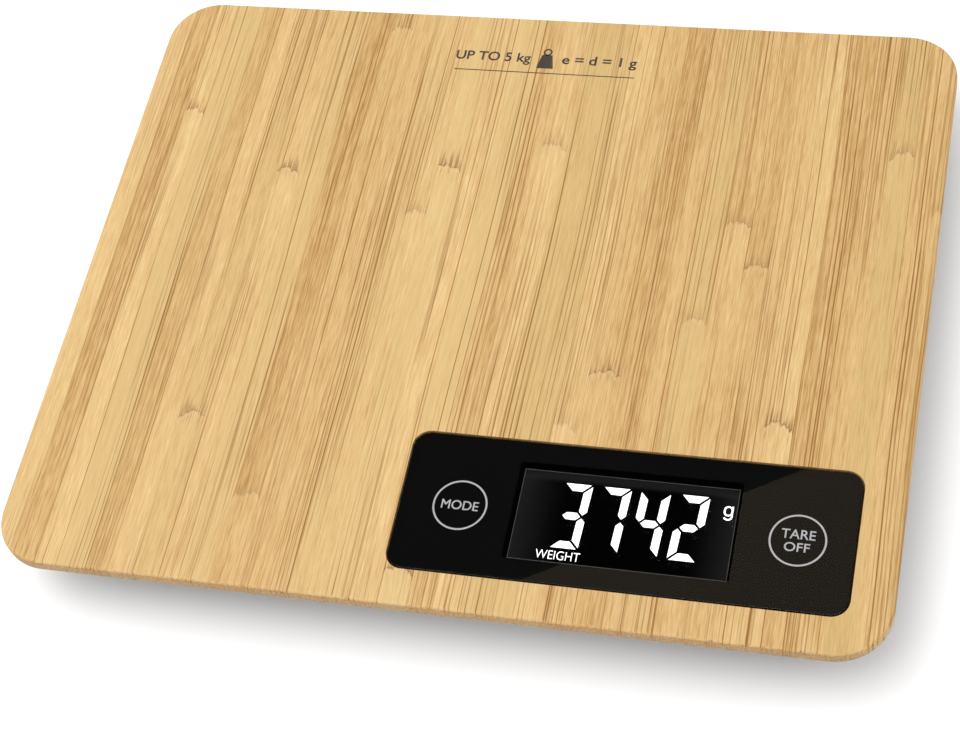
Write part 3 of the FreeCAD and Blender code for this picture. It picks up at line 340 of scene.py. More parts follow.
# %% Hang the reflection cards
GREY_SIZE, WARM_SIZE = (0.95, 1.16), (0.50, 0.25)
GREY_PLACE = Vector((-0.13, 0.13, 0.93))
WARM_HEIGHT, BLACK_HEIGHT = 0.90, 0.88
WARM_EDGE = ((-18, -16.5), (39, 17.5))
BLACK_CORNERS = ((-27, -13), (27, 13))

hang_card("grey_card", *GREY_SIZE, GREY_PLACE, 0,
          (0.095, 0.095, 0.099, 1.0), (0.118, 0.114, 0.109, 1.0))

edge_start, edge_end = (mirrored(*end, WARM_HEIGHT) for end in WARM_EDGE)
edge_turn = math.atan2(edge_end.y - edge_start.y, edge_end.x - edge_start.x)
half_card = Matrix.Rotation(edge_turn, 3, "Z") @ Vector((0, -WARM_SIZE[1] / 2, 0))
warm_place = (edge_start + edge_end) / 2 + half_card
hang_card("warm_card", *WARM_SIZE, warm_place, edge_turn,
          (0.437, 0.370, 0.277, 1.0), (0.484, 0.410, 0.304, 1.0))

black_start, black_end = (mirrored(*corner, BLACK_HEIGHT) for corner in BLACK_CORNERS)
hang_card("black_card", black_end.x - black_start.x, black_end.y - black_start.y,
          (black_start + black_end) / 2, 0,
          (0.004, 0.004, 0.004, 1.0), (0.006, 0.006, 0.006, 1.0))

# %% [markdown]
# ## Bamboo
#
# A bamboo board is glued up from strips a few millimetres wide, split from many canes.
# Each strip has its own tone, and its own fibres, which run its whole length as fine
# streaks. Where a cane had a node, the strip shows a pale bow with short dark strokes
# above it and a plainer stretch below. A picture would repeat or blur, so the pattern
# is worked out: a one-dimensional Voronoi texture makes the strips and gives each its
# own random colour, and that colour shifts the tone, the fibres and the node.

# %% Work out the strips
STRIP_WIDTH = 6.4 * MM
NODE_SPACING = 0.31

bamboo = Finish("oiled_bamboo")
across, along, upward = bamboo.parts(bamboo.place)
sway = bamboo.noise(bamboo.stretched((14, 8, 0)), detail=1.0)
lane = across + (sway - 0.5) * (3 * MM)
lane_count = lane / STRIP_WIDTH
strip = bamboo.row(lane_count, 0.6, "F1", "Color")
strip_edge = bamboo.row(lane_count, 0.6, "DISTANCE_TO_EDGE", "Distance")
strip_tone, strip_shift, strip_chance = bamboo.parts(strip)
beside = lane_count - strip.other("W")
run = along + strip_shift * 0.9
print("strips of about", STRIP_WIDTH / MM, "mm")

# %% Work out the fibres
def fibres(per_metre_across, per_metre_along, detail=2.0):
    """Noise drawn out along the strip."""
    drawn = bamboo.vector(lane * per_metre_across, run * per_metre_along, upward * per_metre_across)
    return bamboo.noise(drawn, detail=detail)


def grain_lines(per_metre, shift, half_width):
    """Straight lines of one width, side by side at random distances."""
    gap = bamboo.row(lane * per_metre + shift, 1.0, "DISTANCE_TO_EDGE", "Distance")
    return bamboo.rise(gap / per_metre, half_width, half_width * 0.3)


broad = fibres(230, 6)
coarse = fibres(760, 12)
fine = fibres(1900, 60)
hair = fibres(4200, 220, detail=1.0)
print("four sizes of fibre")

# %% Work out the dark lines between the fibres
dark_lines = (grain_lines(210, 0.7, 0.20 * MM)
              * bamboo.rise(fibres(190, 5, detail=1.0), 0.46, 0.60))
bundle_zone = bamboo.rise(fibres(150, 9, detail=1.0), 0.38, 0.56)
thin_lines = (grain_lines(900, 0.3, 0.22 * MM)
              * bamboo.rise(fibres(520, 10, detail=1.0), 0.44, 0.58) * bundle_zone * 0.70)
streaks = bamboo.rise(fibres(1400, 16, detail=1.0), 0.55, 0.67) * bundle_zone * 0.45
glue_lines = (bamboo.rise(strip_edge, 0.035, 0.008)
              * bamboo.rise(fibres(60, 9, detail=1.0), 0.46, 0.62))
print("dark lines, thin lines, streaks and glue lines")

# %% Work out the nodes
node_phase = (run / NODE_SPACING + strip_chance).fraction()
node_ragged = (fine - 0.5) * (2.0 * MM) + (coarse - 0.5) * (3.5 * MM)
node_strength = bamboo.rise((strip_shift * 5.3).fraction(), 0.0, 0.9) * 0.75 + 0.25
node_gap = (node_phase - 0.5) * NODE_SPACING + beside * beside * (5 * MM) + node_ragged
node_length = fibres(900, 0, detail=1.0) * (17 * MM) - 3 * MM
node_bow = bamboo.rise(abs(node_gap), 1.0 * MM, 0.2 * MM)
node_zone = (bamboo.rise(node_gap, 0.1 * MM, 0.8 * MM)
             * bamboo.rise(node_gap / node_length, 1.0, 0.25))
node_strokes = node_zone * bamboo.rise(fibres(2100, 90, detail=1.0), 0.36, 0.62) * node_strength
node_rim = bamboo.rise(abs(node_gap - 0.7 * MM), 0.40 * MM, 0.05 * MM) * node_strength
node_foot = (bamboo.rise(node_gap, -5.0 * MM, -0.6 * MM)
             * bamboo.rise(node_gap, 0.2 * MM, -0.2 * MM)
             * bamboo.rise(fibres(2600, 160, detail=1.0), 0.50, 0.66)
             * node_strength * node_strength)
plain_zone = (bamboo.rise(node_gap, -48 * MM, -6 * MM)
              * bamboo.rise(node_gap, 0.1 * MM, -0.6 * MM))
print("nodes every", NODE_SPACING, "m of cane")

# %% Mix the bamboo's colour
tone = strip_tone * 0.38 + broad * 0.28 + coarse * 0.26 + fine * 0.80 + hair * 0.95 - 0.852
tone = tone - plain_zone * 0.10
wood = bamboo.ramp(
    tone,
    (0.00, tint(206, 176, 121)),
    (0.25, tint(196, 163, 107)),
    (0.50, tint(188, 152, 96)),
    (0.75, tint(173, 133, 73)),
    (1.00, tint(151, 107, 50)))
yellow_share = bamboo.rise(strip_chance, 0.55, 0.95) * 0.5
wood = bamboo.blend(yellow_share, wood, tint(190, 163, 105))
darkness = (dark_lines * 0.95 + thin_lines + streaks + glue_lines * 0.9) * (1 - plain_zone * 0.7)
wood = bamboo.blend(darkness * 0.92, wood, tint(132, 85, 12))
node_share = node_strokes * 0.75 + node_rim * 0.45 + node_foot * 0.5
wood = bamboo.blend(node_share, wood, tint(128, 82, 30))
wood = bamboo.blend(node_bow * 0.22, wood, tint(199, 173, 129))
print("colour mixed")

# %% Add the end grain, the sheen and the relief
facing = bamboo.add("TexCoord", out="Normal")
facing_end = bamboo.parts(facing)[1]
end_share = bamboo.rise(abs(facing_end), 0.7, 0.95)
bundles = bamboo.noise(bamboo.vector(lane * 1500, 0.0, upward * 1500), detail=1.0)
end_grain = bamboo.ramp(bundles, (0.35, tint(172, 135, 88)), (0.62, tint(118, 80, 47)))
wood = bamboo.blend(end_share * 0.6, wood, end_grain)
relief = fine * 0.5 + hair * 0.25 - darkness * 0.5 - node_strokes * 0.5
bamboo_shader = bamboo.shader(
    Base_Color=wood,
    Roughness=0.50 + (fine - 0.5) * 0.2 + darkness * 0.08,
    Normal=bamboo.bump(relief, 0.05 * MM, 0.6))
bamboo_material = bamboo.done(bamboo_shader)

# %% Put a finish on engineering nodes
def dress(material, *names):
    for name in names:
        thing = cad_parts[name]
        if not thing.material_slots:
            thing.data.materials.append(material)
        for place in thing.material_slots:
            place.material = material
    print(material.name, "on", len(names), "nodes")


dress(bamboo_material, "bamboo_platform")

# %% [markdown]
# ## The glass and its black print
#
# The display is covered by a clear pane that is printed black from behind, apart from
# the window. The pane really bends light, so its legends seem to float just under the
# surface. Glass casts a black shadow in a path tracer unless the lamps' rays are let
# through, so a Transparent shader takes over for those rays alone.

# %% Make the pane and the print
pane = Finish("clear_pane")
smears = pane.noise(pane.stretched((60, 25, 60)), detail=3.0)
pane_glass = pane.shader(
    Base_Color=(1.0, 1.0, 1.0, 1.0), Transmission_Weight=1.0, IOR=1.46,
    Roughness=smears * 0.004)
pane_clear = pane.add("BsdfTransparent")
shadow_ray = pane.add("LightPath", out="Is Shadow Ray")
pane_material = pane.done(pane.either(shadow_ray, pane_glass, pane_clear))
dress(pane_material, "display_lens")

ink = Finish("black_print")
ink_mottle = ink.noise(ink.place, detail=4.0, scale=2500.0)
ink_colour = ink.ramp(
    ink_mottle, (0.3, (0.0008, 0.0008, 0.0009, 1)), (0.7, (0.0018, 0.0018, 0.0019, 1)))
ink_material = ink.done(ink.shader(
    Base_Color=ink_colour, Roughness=0.3 + ink_mottle * 0.1, Specular_IOR_Level=0.0,
    Normal=ink.bump(ink_mottle, 0.004 * MM)))
dress(ink_material, "lens_mask")

# %% [markdown]
# ## The display's face
#
# Behind the window lies a negative display: its ground is black, and a little of the
# backlight leaks round the active area, so the margins are a dark grey that fades
# softly into the black middle. Both the middle and the fade are worked out from the
# distance to the window's centre, and only the glow is added as light. A lighter band
# along the window's top is a painted highlight on the ground. It stands in for the light
# that the recess's upper wall catches.

# %% Find the window's centre and make the dark ground
lcd_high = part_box("lcd_glass")[1]
DEEP_BLACK = (0.0002, 0.0002, 0.0002, 1)
MARGIN_GLOW = (0.0185, 0.0185, 0.0188, 1)
RIM_HIGHLIGHT = (0.0115, 0.0115, 0.0117, 1)

ground = Finish("dark_display")
ground_x, ground_y = ground.parts(ground.place)[:2]
beside_middle = ground.rise(abs(ground_x - (lens_centre.x + 0.5 * MM)), 34.0 * MM, 14.0 * MM)
over_middle = ground.rise(ground_y - lens_centre.y, 10.9 * MM, 9.3 * MM)
leak = 1 - beside_middle * (over_middle * 0.6 + 0.4)
# The lighter band along the window's top is a painted highlight, for the light that the upper wall
# of the recess catches. It is added as glow, like the leak.
upper_rim_highlight = ground.rise(ground_y - lens_centre.y, 10.2 * MM, 11.6 * MM)
wave = ground.noise(ground.stretched((90, 40, 90)), detail=1.0)
glow = ground.blend(leak * (0.75 + wave * 0.5), DEEP_BLACK, MARGIN_GLOW)
glow = ground.blend(upper_rim_highlight, glow, RIM_HIGHLIGHT)
ground_shader = ground.shader(
    Base_Color=(0.0004, 0.0004, 0.0004, 1.0), Roughness=0.1 + wave * 0.06, Specular_IOR_Level=0.0,
    Emission_Color=glow, Emission_Strength=1.0)
ground_material = ground.done(ground_shader)
dress(ground_material, "lcd_glass")

# %% [markdown]
# ## Pieces made here
#
# Every new piece goes through one function. It turns the normals outwards, makes the
# object at the origin with its place in its mesh, says which body the piece rides
# on, and gives it its material.

# %% Make a piece from a bmesh
def piece(name, shape, material, body="platform", smooth=False):
    bmesh.ops.recalc_face_normals(shape, faces=shape.faces)
    mesh = bpy.data.meshes.new(name)
    shape.to_mesh(mesh)
    shape.free()
    mesh.materials.append(material)
    mesh.polygons.foreach_set("use_smooth", [smooth] * len(mesh.polygons))
    thing = bpy.data.objects.new(name, mesh)
    bpy.context.scene.collection.objects.link(thing)
    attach(thing, body)
    print(name, "has", len(mesh.polygons), "faces and rides on", body)
    return thing


# %% [markdown]
# ## The lit digits
#
# A seven-segment digit is a frame of flat bars with mitred ends and hair-thin gaps.
# They could be typed in corner by corner. It is shorter to lay down one plain bar for
# each segment and to saw its ends off with planes, as a maker would. Three kinds of bar
# are enough, one along the top, one across the middle and one down the side, because
# the others are the same bars mirrored. The whole digit is then sheared, for its slant.

# %% Saw one bar to its mitres
DIGIT_WIDTH, DIGIT_HEIGHT = 7.0 * MM, 17.4 * MM
BAR = 1.88 * MM
BAR_GAP = 0.60 * MM
SLANT = 0.05
LIT_THICKNESS = 0.03 * MM


def sawn_bar(centre, size, cuts):
    """A flat bar; each cut is a point and the side that falls away."""
    bar = bmesh.new()
    stretch = Matrix.Translation((*centre, 0)) @ Matrix.Diagonal((*size, 1, 1))
    bmesh.ops.create_grid(bar, x_segments=1, y_segments=1, size=0.5, matrix=stretch)
    for point, waste in cuts:
        side = Vector((*waste, 0)).normalized()
        bmesh.ops.bisect_plane(
            bar, geom=bar.verts[:] + bar.edges[:] + bar.faces[:], dist=1e-8,
            plane_co=Vector((*point, 0)) - side * BAR_GAP / 2, plane_no=side, clear_outer=True)
    mesh = bpy.data.meshes.new("bar")
    bar.to_mesh(mesh)
    bar.free()
    return mesh


# %% Put the bars of a digit together
SEGMENTS_OF = {"2": "abged", "3": "abgcd", "4": "fgbc", "7": "abc"}
half_width, half_height = DIGIT_WIDTH / 2, DIGIT_HEIGHT / 2


def level_bar(up):
    cuts = [((side * half_width, up * half_height), (side, -up)) for side in (1, -1)]
    return sawn_bar((0, up * (half_height - BAR / 2)), (DIGIT_WIDTH, BAR), cuts)


def middle_bar():
    tip = half_width - BAR / 2
    cuts = [((side * tip, 0), (side, up)) for side in (1, -1) for up in (1, -1)]
    return sawn_bar((0, 0), (2 * tip, BAR), cuts)


def upright_bar(side, up):
    tip = (side * (half_width - BAR / 2), 0)
    cuts = [((side * half_width, up * half_height), (-side, up)), (tip, (1, -up)), (tip, (-1, -up))]
    return sawn_bar((tip[0], up * half_height / 2), (BAR, half_height), cuts)


BARS = {
    "a": lambda: level_bar(1), "b": lambda: upright_bar(1, 1), "c": lambda: upright_bar(1, -1),
    "d": lambda: level_bar(-1), "e": lambda: upright_bar(-1, -1), "f": lambda: upright_bar(-1, 1),
    "g": middle_bar}
print("seven bars for", "".join(SEGMENTS_OF))

# %% Light the digits
glowing = Finish("lit_segment")
lit_unevenness = glowing.noise(glowing.stretched((300, 300, 0)), detail=1.0)
lit_colour = glowing.ramp(lit_unevenness, (0.3, (0.93, 0.95, 0.96, 1)), (0.7, (1.0, 1.0, 1.0, 1)))
glowing_material = glowing.done(glowing.shader(
    Base_Color=(0.8, 0.8, 0.8, 1.0), Roughness=0.6,
    Emission_Color=lit_colour, Emission_Strength=1.15))

LIT_LIFT = 0.01 * MM
FIRST_DIGIT = (-12.93 * MM, 0.85 * MM)
DIGIT_PITCH = 9.43 * MM
digits_z = lcd_high.z + LIT_LIFT
digits_middle = Vector((lens_centre.x + FIRST_DIGIT[0], lens_centre.y + FIRST_DIGIT[1], digits_z))
slant = Matrix(((1, SLANT, 0, 0), (0, 1, 0, 0), (0, 0, 1, 0), (0, 0, 0, 1)))

digits = bmesh.new()
for index, numeral in enumerate("3742"):
    shift = Matrix.Translation(digits_middle + Vector((index * DIGIT_PITCH, 0, LIT_THICKNESS)))
    for segment in SEGMENTS_OF[numeral]:
        bar_mesh = BARS[segment]()
        bar_mesh.transform(shift @ slant)
        digits.from_mesh(bar_mesh)
        bpy.data.meshes.remove(bar_mesh)
bmesh.ops.solidify(digits, geom=digits.faces[:], thickness=LIT_THICKNESS)
piece("lit_digits", digits, glowing_material)

# %% [markdown]
# ## Lettering
#
# The legends are plain words: the mode key, the tare and off key, the weight and the
# unit. Text in Blender is a curve, so each word is made a mesh first, then fitted to
# the width and height that it should have, and only then moved to its place. A curve's
# offset makes thinner strokes, but as a way to heavier ones it tangles letters with sharp
# inner corners. A small bevel grows them outwards and leaves their faces whole.

# %% Fit a word into its box
def box_of(verts):
    """The lowest and the highest corner round some vertices."""
    return [Vector([pick(vert.co[i] for vert in verts) for i in range(3)])
            for pick in (min, max)]


def lettering(name, text, size, centre, top, thickness, material, weight=0.0):
    """A word as a thin solid of this size; its weight thickens or thins the strokes."""
    curve = bpy.data.curves.new(name, "FONT")
    curve.body = text
    curve.extrude = 0.05
    curve.offset = min(weight, 0.0)
    curve.bevel_depth = max(weight, 0.0)
    curve.bevel_resolution = 0
    curve.resolution_u = 6
    holder = bpy.data.objects.new(name, curve)
    mesh = bpy.data.meshes.new_from_object(holder)
    bpy.data.objects.remove(holder)
    shape = bmesh.new()
    shape.from_mesh(mesh)
    bmesh.ops.remove_doubles(shape, verts=shape.verts, dist=1e-5)
    corner_low, corner_high = box_of(shape.verts)
    span = corner_high - corner_low
    fit = Matrix.Diagonal((size[0] / span.x, size[1] / span.y, thickness / span.z, 1))
    middle = Matrix.Translation(-(corner_low + corner_high) / 2)
    place = Matrix.Translation((centre[0], centre[1], top - thickness / 2))
    bmesh.ops.transform(shape, matrix=place @ fit @ middle, verts=shape.verts)
    return piece(name, shape, material)


lit_top = digits_z + LIT_THICKNESS
for name, text, (width, height), (right, back), weight in (
        ("lit_weight", "WEIGHT", (10.7, 2.3), (-14.3, -9.9), -0.010),
        ("lit_unit", "\u0261", (2.25, 3.8), (24.0, 5.85), 0.0)):
    lettering(name, text, (width * MM, height * MM),
              (lens_centre.x + right * MM, lens_centre.y + back * MM),
              lit_top, LIT_THICKNESS, glowing_material, weight)

# %% [markdown]
# ## The touch keys
#
# The keys are only printed rings with a word inside, in a light grey ink on the back of
# the glass. A ring is a disc that is inset by the width of its stroke, with the middle
# taken out, and a thin wall added so that it is a closed solid.

# %% Print the rings and the key names
grey_ink = Finish("grey_ink")
ink_grain = grey_ink.noise(grey_ink.place, detail=3.0, scale=3500.0)
grey_colour = grey_ink.ramp(ink_grain, (0.3, tint(182, 182, 185)), (0.7, tint(200, 200, 202)))
grey_material = grey_ink.done(grey_ink.shader(Base_Color=grey_colour, Roughness=0.6))

mask_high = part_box("lens_mask")[1]
PRINT_THICKNESS, PRINT_LIFT = 0.02 * MM, 0.006 * MM
print_top = mask_high.z + PRINT_LIFT
KEY_INSET, TARE_SHIFT = 14.5 * MM, 0.8 * MM
KEY_RADIUS = 6.75 * MM
KEY_STROKE = 0.45 * MM
key_y = lens_centre.y + 0.42 * MM


def hollow(shape, faces, stroke):
    """Leave only a rim of these faces, as wide as the stroke."""
    bmesh.ops.inset_region(
        shape, faces=faces, thickness=stroke, use_even_offset=True, use_boundary=True)
    bmesh.ops.delete(shape, geom=faces, context="FACES")


def printed_ring(name, centre_x):
    shape = bmesh.new()
    place = Matrix.Translation((centre_x, key_y, print_top))
    bmesh.ops.create_circle(shape, cap_ends=True, segments=96, radius=KEY_RADIUS, matrix=place)
    hollow(shape, shape.faces[:], KEY_STROKE)
    bmesh.ops.solidify(shape, geom=shape.faces[:], thickness=PRINT_THICKNESS)
    return piece(name, shape, grey_material)


mode_x = lens_low.x + KEY_INSET
tare_x = lens_high.x - KEY_INSET + TARE_SHIFT
printed_ring("mode_ring", mode_x)
printed_ring("tare_ring", tare_x)
for name, text, (width, height), centre in (
        ("mode_word", "MODE", (9.2, 2.5), (mode_x, key_y)),
        ("tare_word", "TARE", (8.0, 2.45), (tare_x, key_y + 1.58 * MM)),
        ("off_word", "OFF", (6.0, 2.35), (tare_x, key_y - 1.80 * MM))):
    lettering(name, text, (width * MM, height * MM), centre, print_top, PRINT_THICKNESS,
              grey_material, weight=0.008)

# %% Paint a thin highlight along the edge of the window
# The grey line round the window is a painted highlight. It stands in for the light that the display
# module's edge catches under the glass.
edge_highlight = Finish("window_edge_highlight")
edge_grain = edge_highlight.noise(edge_highlight.stretched((500, 500, 0)), detail=2.0)
edge_highlight_colour = edge_highlight.ramp(edge_grain, (0.3, tint(40, 40, 41)), (0.7, tint(62, 62, 63)))
edge_highlight_material = edge_highlight.done(edge_highlight.shader(Base_Color=edge_highlight_colour, Roughness=0.4))

WINDOW = (52 * MM, 24 * MM)
WINDOW_LINE = 0.16 * MM
edge_shape = bmesh.new()
bmesh.ops.create_grid(
    edge_shape, x_segments=1, y_segments=1, size=0.5,
    matrix=Matrix.Translation((lens_centre.x, lens_centre.y, print_top))
    @ Matrix.Diagonal((WINDOW[0] + 2 * WINDOW_LINE, WINDOW[1] + 2 * WINDOW_LINE, 1, 1)))
hollow(edge_shape, edge_shape.faces[:], WINDOW_LINE)
bmesh.ops.solidify(edge_shape, geom=edge_shape.faces[:], thickness=PRINT_THICKNESS)
piece("window_edge", edge_shape, edge_highlight_material)

# %% [markdown]
# ## The mark on the board
#
# Such a board usually carries a small dark print at the back. Here it only says what
# the scale can weigh, beside a plain picture of an iron weight, over a thin line. The
# weight is a four-sided disc whose top is narrowed, with a ring for its handle.

# %% Mix the dark print for wood
stain = Finish("dark_wood_print")
stain_grain = stain.noise(stain.stretched((1500, 60, 0)), detail=3.0)
stain_colour = stain.ramp(
    stain_grain,
    (0.30, tint(38, 29, 24)), (0.60, tint(54, 42, 33)), (0.80, tint(96, 74, 52)))
stain_material = stain.done(stain.shader(
    Base_Color=stain_colour, Roughness=0.55 + stain_grain * 0.1))

# %% Print the capacity and the step
MARK_CENTRE = Vector((0.5 * MM, 75.5 * MM))
MARK_THICKNESS, MARK_LIFT = 0.03 * MM, 0.008 * MM
MARK_LETTERS = 4.1 * MM
mark_top = board_top.z + MARK_LIFT
for name, text, width, right in (
        ("capacity_words", "UP TO 5 kg", 21.0, -14.9),
        ("step_words", "e = d = 1 g", 20.6, 14.7)):
    lettering(name, text, (width * MM, MARK_LETTERS), MARK_CENTRE + Vector((right * MM, 0)),
              mark_top, MARK_THICKNESS, stain_material, weight=0.02)

# %% Print the iron weight and the line
HANDLE_SIDES = 32
SHOULDER_SHARE = 0.62


def on_mark(back):
    """A place on the mark's middle line, so many millimetres from its centre."""
    return Matrix.Translation((MARK_CENTRE.x, MARK_CENTRE.y + back * MM, mark_top))


weight_mark = bmesh.new()
bmesh.ops.create_circle(
    weight_mark, cap_ends=True, segments=4, radius=3.3 * MM,
    matrix=on_mark(-0.6) @ Matrix.Rotation(math.pi / 4, 4, "Z"))
for vert in weight_mark.verts:
    if vert.co.y > MARK_CENTRE.y:
        vert.co.x = MARK_CENTRE.x + (vert.co.x - MARK_CENTRE.x) * SHOULDER_SHARE
bmesh.ops.create_circle(
    weight_mark, cap_ends=True, segments=HANDLE_SIDES, radius=1.25 * MM, matrix=on_mark(2.7))
handle = [face for face in weight_mark.faces if len(face.verts) == HANDLE_SIDES]
hollow(weight_mark, handle, 0.5 * MM)
bmesh.ops.create_grid(
    weight_mark, x_segments=1, y_segments=1, size=0.5,
    matrix=on_mark(-4.6) @ Matrix.Diagonal((50 * MM, 0.3 * MM, 1, 1)))
bmesh.ops.solidify(weight_mark, geom=weight_mark.faces[:], thickness=MARK_THICKNESS)
piece("weight_mark", weight_mark, stain_material)

# %% [markdown]
# ## Moulded plastic
#
# The case is black ABS from a mould whose steel was spark-eroded, which leaves an even,
# fine, matt texture. Noise at the size of those pits drives the relief, and the colour
# and the roughness change a little with it. The same recipe, with other numbers, makes
# the feet and their rubber, the display's holder, the wire headers, the chip, the tapes
# and the white lamp bodies.

# %% Mould the plastics
def moulded(name, dark, light, pit, depth, roughness):
    """Plastic with pits of this size and depth, in millimetres."""
    finish = Finish(name)
    pits = finish.noise(finish.place, detail=2.0, scale=1.0 / (pit * MM))
    flow = finish.noise(finish.place, detail=1.0, scale=30.0)
    colour = finish.blend(pits * 0.6 + flow * 0.4, dark, light)
    return finish.done(finish.shader(
        Base_Color=colour, Roughness=roughness + (pits - 0.5) * 0.12 + (flow - 0.5) * 0.08,
        Normal=finish.bump(pits, depth * MM)))


case_black = moulded("case_black", tint(24, 24, 26), tint(36, 36, 38), 0.45, 0.05, 0.52)
foot_black = moulded("foot_black", tint(22, 22, 23), tint(30, 30, 31), 0.8, 0.02, 0.38)
holder_grey = moulded("holder_grey", tint(66, 67, 70), tint(84, 85, 88), 0.5, 0.02, 0.5)
header_cream = moulded("header_cream", tint(222, 214, 192), tint(238, 232, 214), 0.7, 0.01, 0.42)
lamp_white = moulded("lamp_white", tint(226, 220, 190), tint(244, 240, 222), 0.3, 0.01, 0.35)
chip_black = moulded("chip_black", tint(26, 27, 29), tint(40, 41, 44), 0.12, 0.01, 0.6)
pad_black = moulded("ribbed_rubber", tint(30, 30, 31), tint(46, 46, 48), 0.25, 0.04, 0.85)
foam_tape = moulded("foam_tape", tint(186, 186, 182), tint(214, 214, 210), 0.3, 0.06, 0.9)

corners = [side + "_" + hand for side in ("front", "back") for hand in ("left", "right")]
dress(case_black, "carrier_frame", "lower_housing", "battery_door")
dress(foot_black, *["foot_" + corner for corner in corners])
dress(pad_black, *["foot_pad_" + corner for corner in corners])
dress(holder_grey, "lcd_holder")
dress(header_cream, "wire_headers")
dress(lamp_white, "backlight_leds")
dress(chip_black, "microcontroller")
dress(foam_tape, "platform_tape", "lens_tape")

# %% [markdown]
# ## Metals
#
# The load cells are stamped steel with the brush lines of the sheet, the screws are
# zinc-plated, the springs are drawn wire and the battery contacts are nickel. All are
# fully metallic, so what tells them apart is the direction and the size of their marks,
# which go into the roughness and the relief.

# %% Finish the metals
def metal(name, dark, light, marks, depth, rough, spread):
    """Metal whose marks are this many to the metre along each axis."""
    finish = Finish(name)
    lines = finish.noise(finish.stretched(marks), detail=3.0)
    cloud = finish.noise(finish.place, detail=2.0, scale=220.0)
    colour = finish.blend(lines * 0.5 + cloud * 0.5, dark, light)
    return finish.done(finish.shader(
        Base_Color=colour, Metallic=1.0,
        Roughness=rough + (lines - 0.5) * spread + (cloud - 0.5) * 0.1,
        Normal=finish.bump(lines, depth * MM)))


brushed_steel = metal(
    "brushed_steel", tint(168, 168, 170), tint(206, 206, 206), (120, 5000, 5000), 0.01, 0.36, 0.25)
plated_steel = metal(
    "plated_steel", tint(176, 178, 182), tint(214, 216, 218), (1800, 1800, 1800), 0.01, 0.28, 0.2)
spring_wire = metal(
    "spring_wire", tint(190, 188, 182), tint(220, 218, 212), (2600, 2600, 300), 0.005, 0.22, 0.15)
nickel_plate = metal(
    "nickel_plate", tint(196, 192, 180), tint(222, 218, 206), (400, 3000, 3000), 0.005, 0.26, 0.2)

dress(brushed_steel, *["load_cell_" + corner for corner in corners])
dress(plated_steel, "load_cell_screws", "circuit_board_screws",
      *["foot_screw_" + corner for corner in corners])
dress(spring_wire, "touch_spring_mode", "touch_spring_tare", "battery_springs")
dress(nickel_plate, "battery_plates")

# %% [markdown]
# ## The electronics
#
# Few will see the inside, but it comes into view in a cutaway. The board is green
# solder resist with paler tracks. Lines about a millimetre apart run one way or the
# other in patches, and the random colours of a Voronoi texture choose which. The gauges
# show the long runs of a foil zigzag on amber film, and the elastic connector is a fine
# stack of stripes.

# %% Finish the circuit board
def stripe(wire, pitch, share):
    """1 on lines this far apart, in millimetres, and 0 between them."""
    half = abs((wire / (pitch * MM)).fraction() - 0.5)
    return wire.finish.rise(half, share / 2 + 0.05, share / 2)


resist = Finish("green_resist")
resist_x, resist_y = resist.parts(resist.place)[:2]
patch_x, patch_y, patch_z = resist.parts(resist.cells(150.0, "Color"))
tracks = (resist.rise(patch_x, 0.50, 0.52) * stripe(resist_x, 1.2, 0.4)
          + resist.rise(patch_x, 0.50, 0.48) * resist.rise(patch_y, 0.30, 0.32)
          * stripe(resist_y, 1.2, 0.4))
resist_colour = resist.blend(tracks, tint(12, 62, 34), tint(34, 98, 52))
holes = resist.rise(resist.cells(260.0), 0.16, 0.12) * resist.rise(patch_z, 0.5, 0.52)
resist_colour = resist.blend(holes, resist_colour, tint(198, 190, 160))
resist_material = resist.done(resist.shader(
    Base_Color=resist_colour, Roughness=0.32 + tracks * 0.08, Coat_Weight=0.3,
    Normal=resist.bump(tracks, 0.02 * MM)))
dress(resist_material, "main_circuit_board")

# %% Finish the gauges, the connector and the small parts
gauge = Finish("strain_gauge_film")
zigzag = stripe(gauge.parts(gauge.place)[1], 0.5, 0.5)
gauge_colour = gauge.blend(zigzag, tint(196, 128, 44), tint(214, 190, 150))
gauge_material = gauge.done(gauge.shader(
    Base_Color=gauge_colour, Roughness=0.34, Metallic=zigzag * 0.7))
dress(gauge_material, "strain_gauges")

elastic = Finish("elastic_connector")
layers = stripe(elastic.parts(elastic.place)[0], 0.2, 0.5)
elastic_colour = elastic.blend(layers, tint(24, 24, 26), tint(196, 190, 184))
elastic_material = elastic.done(elastic.shader(Base_Color=elastic_colour, Roughness=0.7))
dress(elastic_material, "lcd_connector")

parts_finish = Finish("small_parts")
lot = parts_finish.parts(parts_finish.cells(170.0, "Color"))[0]
speckle = parts_finish.noise(parts_finish.place, detail=2.0, scale=4000.0)
parts_colour = parts_finish.ramp(
    lot, (0.0, tint(34, 34, 36)), (0.42, tint(40, 40, 42)),
    (0.46, tint(168, 140, 104)), (1.0, tint(196, 172, 138)))
parts_material = parts_finish.done(parts_finish.shader(
    Base_Color=parts_colour, Roughness=0.4 + speckle * 0.2,
    Normal=parts_finish.bump(speckle, 0.01 * MM)))
dress(parts_material, "small_components")

guide = Finish("frosted_light_guide")
dots = guide.rise(guide.cells(900.0), 0.4, 0.3)
guide_colour = guide.blend(dots * 0.6, tint(222, 230, 236), tint(250, 250, 250))
guide_material = guide.done(guide.shader(
    Base_Color=guide_colour, Roughness=0.25 + dots * 0.2, IOR=1.49))
dress(guide_material, "light_guide")

# %% [markdown]
# ## Cells and leads
#
# Each cell is a can in a printed sleeve with bare metal at both ends, so one finish
# changes from paint to metal by how far along the cell it is. The leads are soft
# plastic over stranded wire: red and black at the battery, red at the load cells.

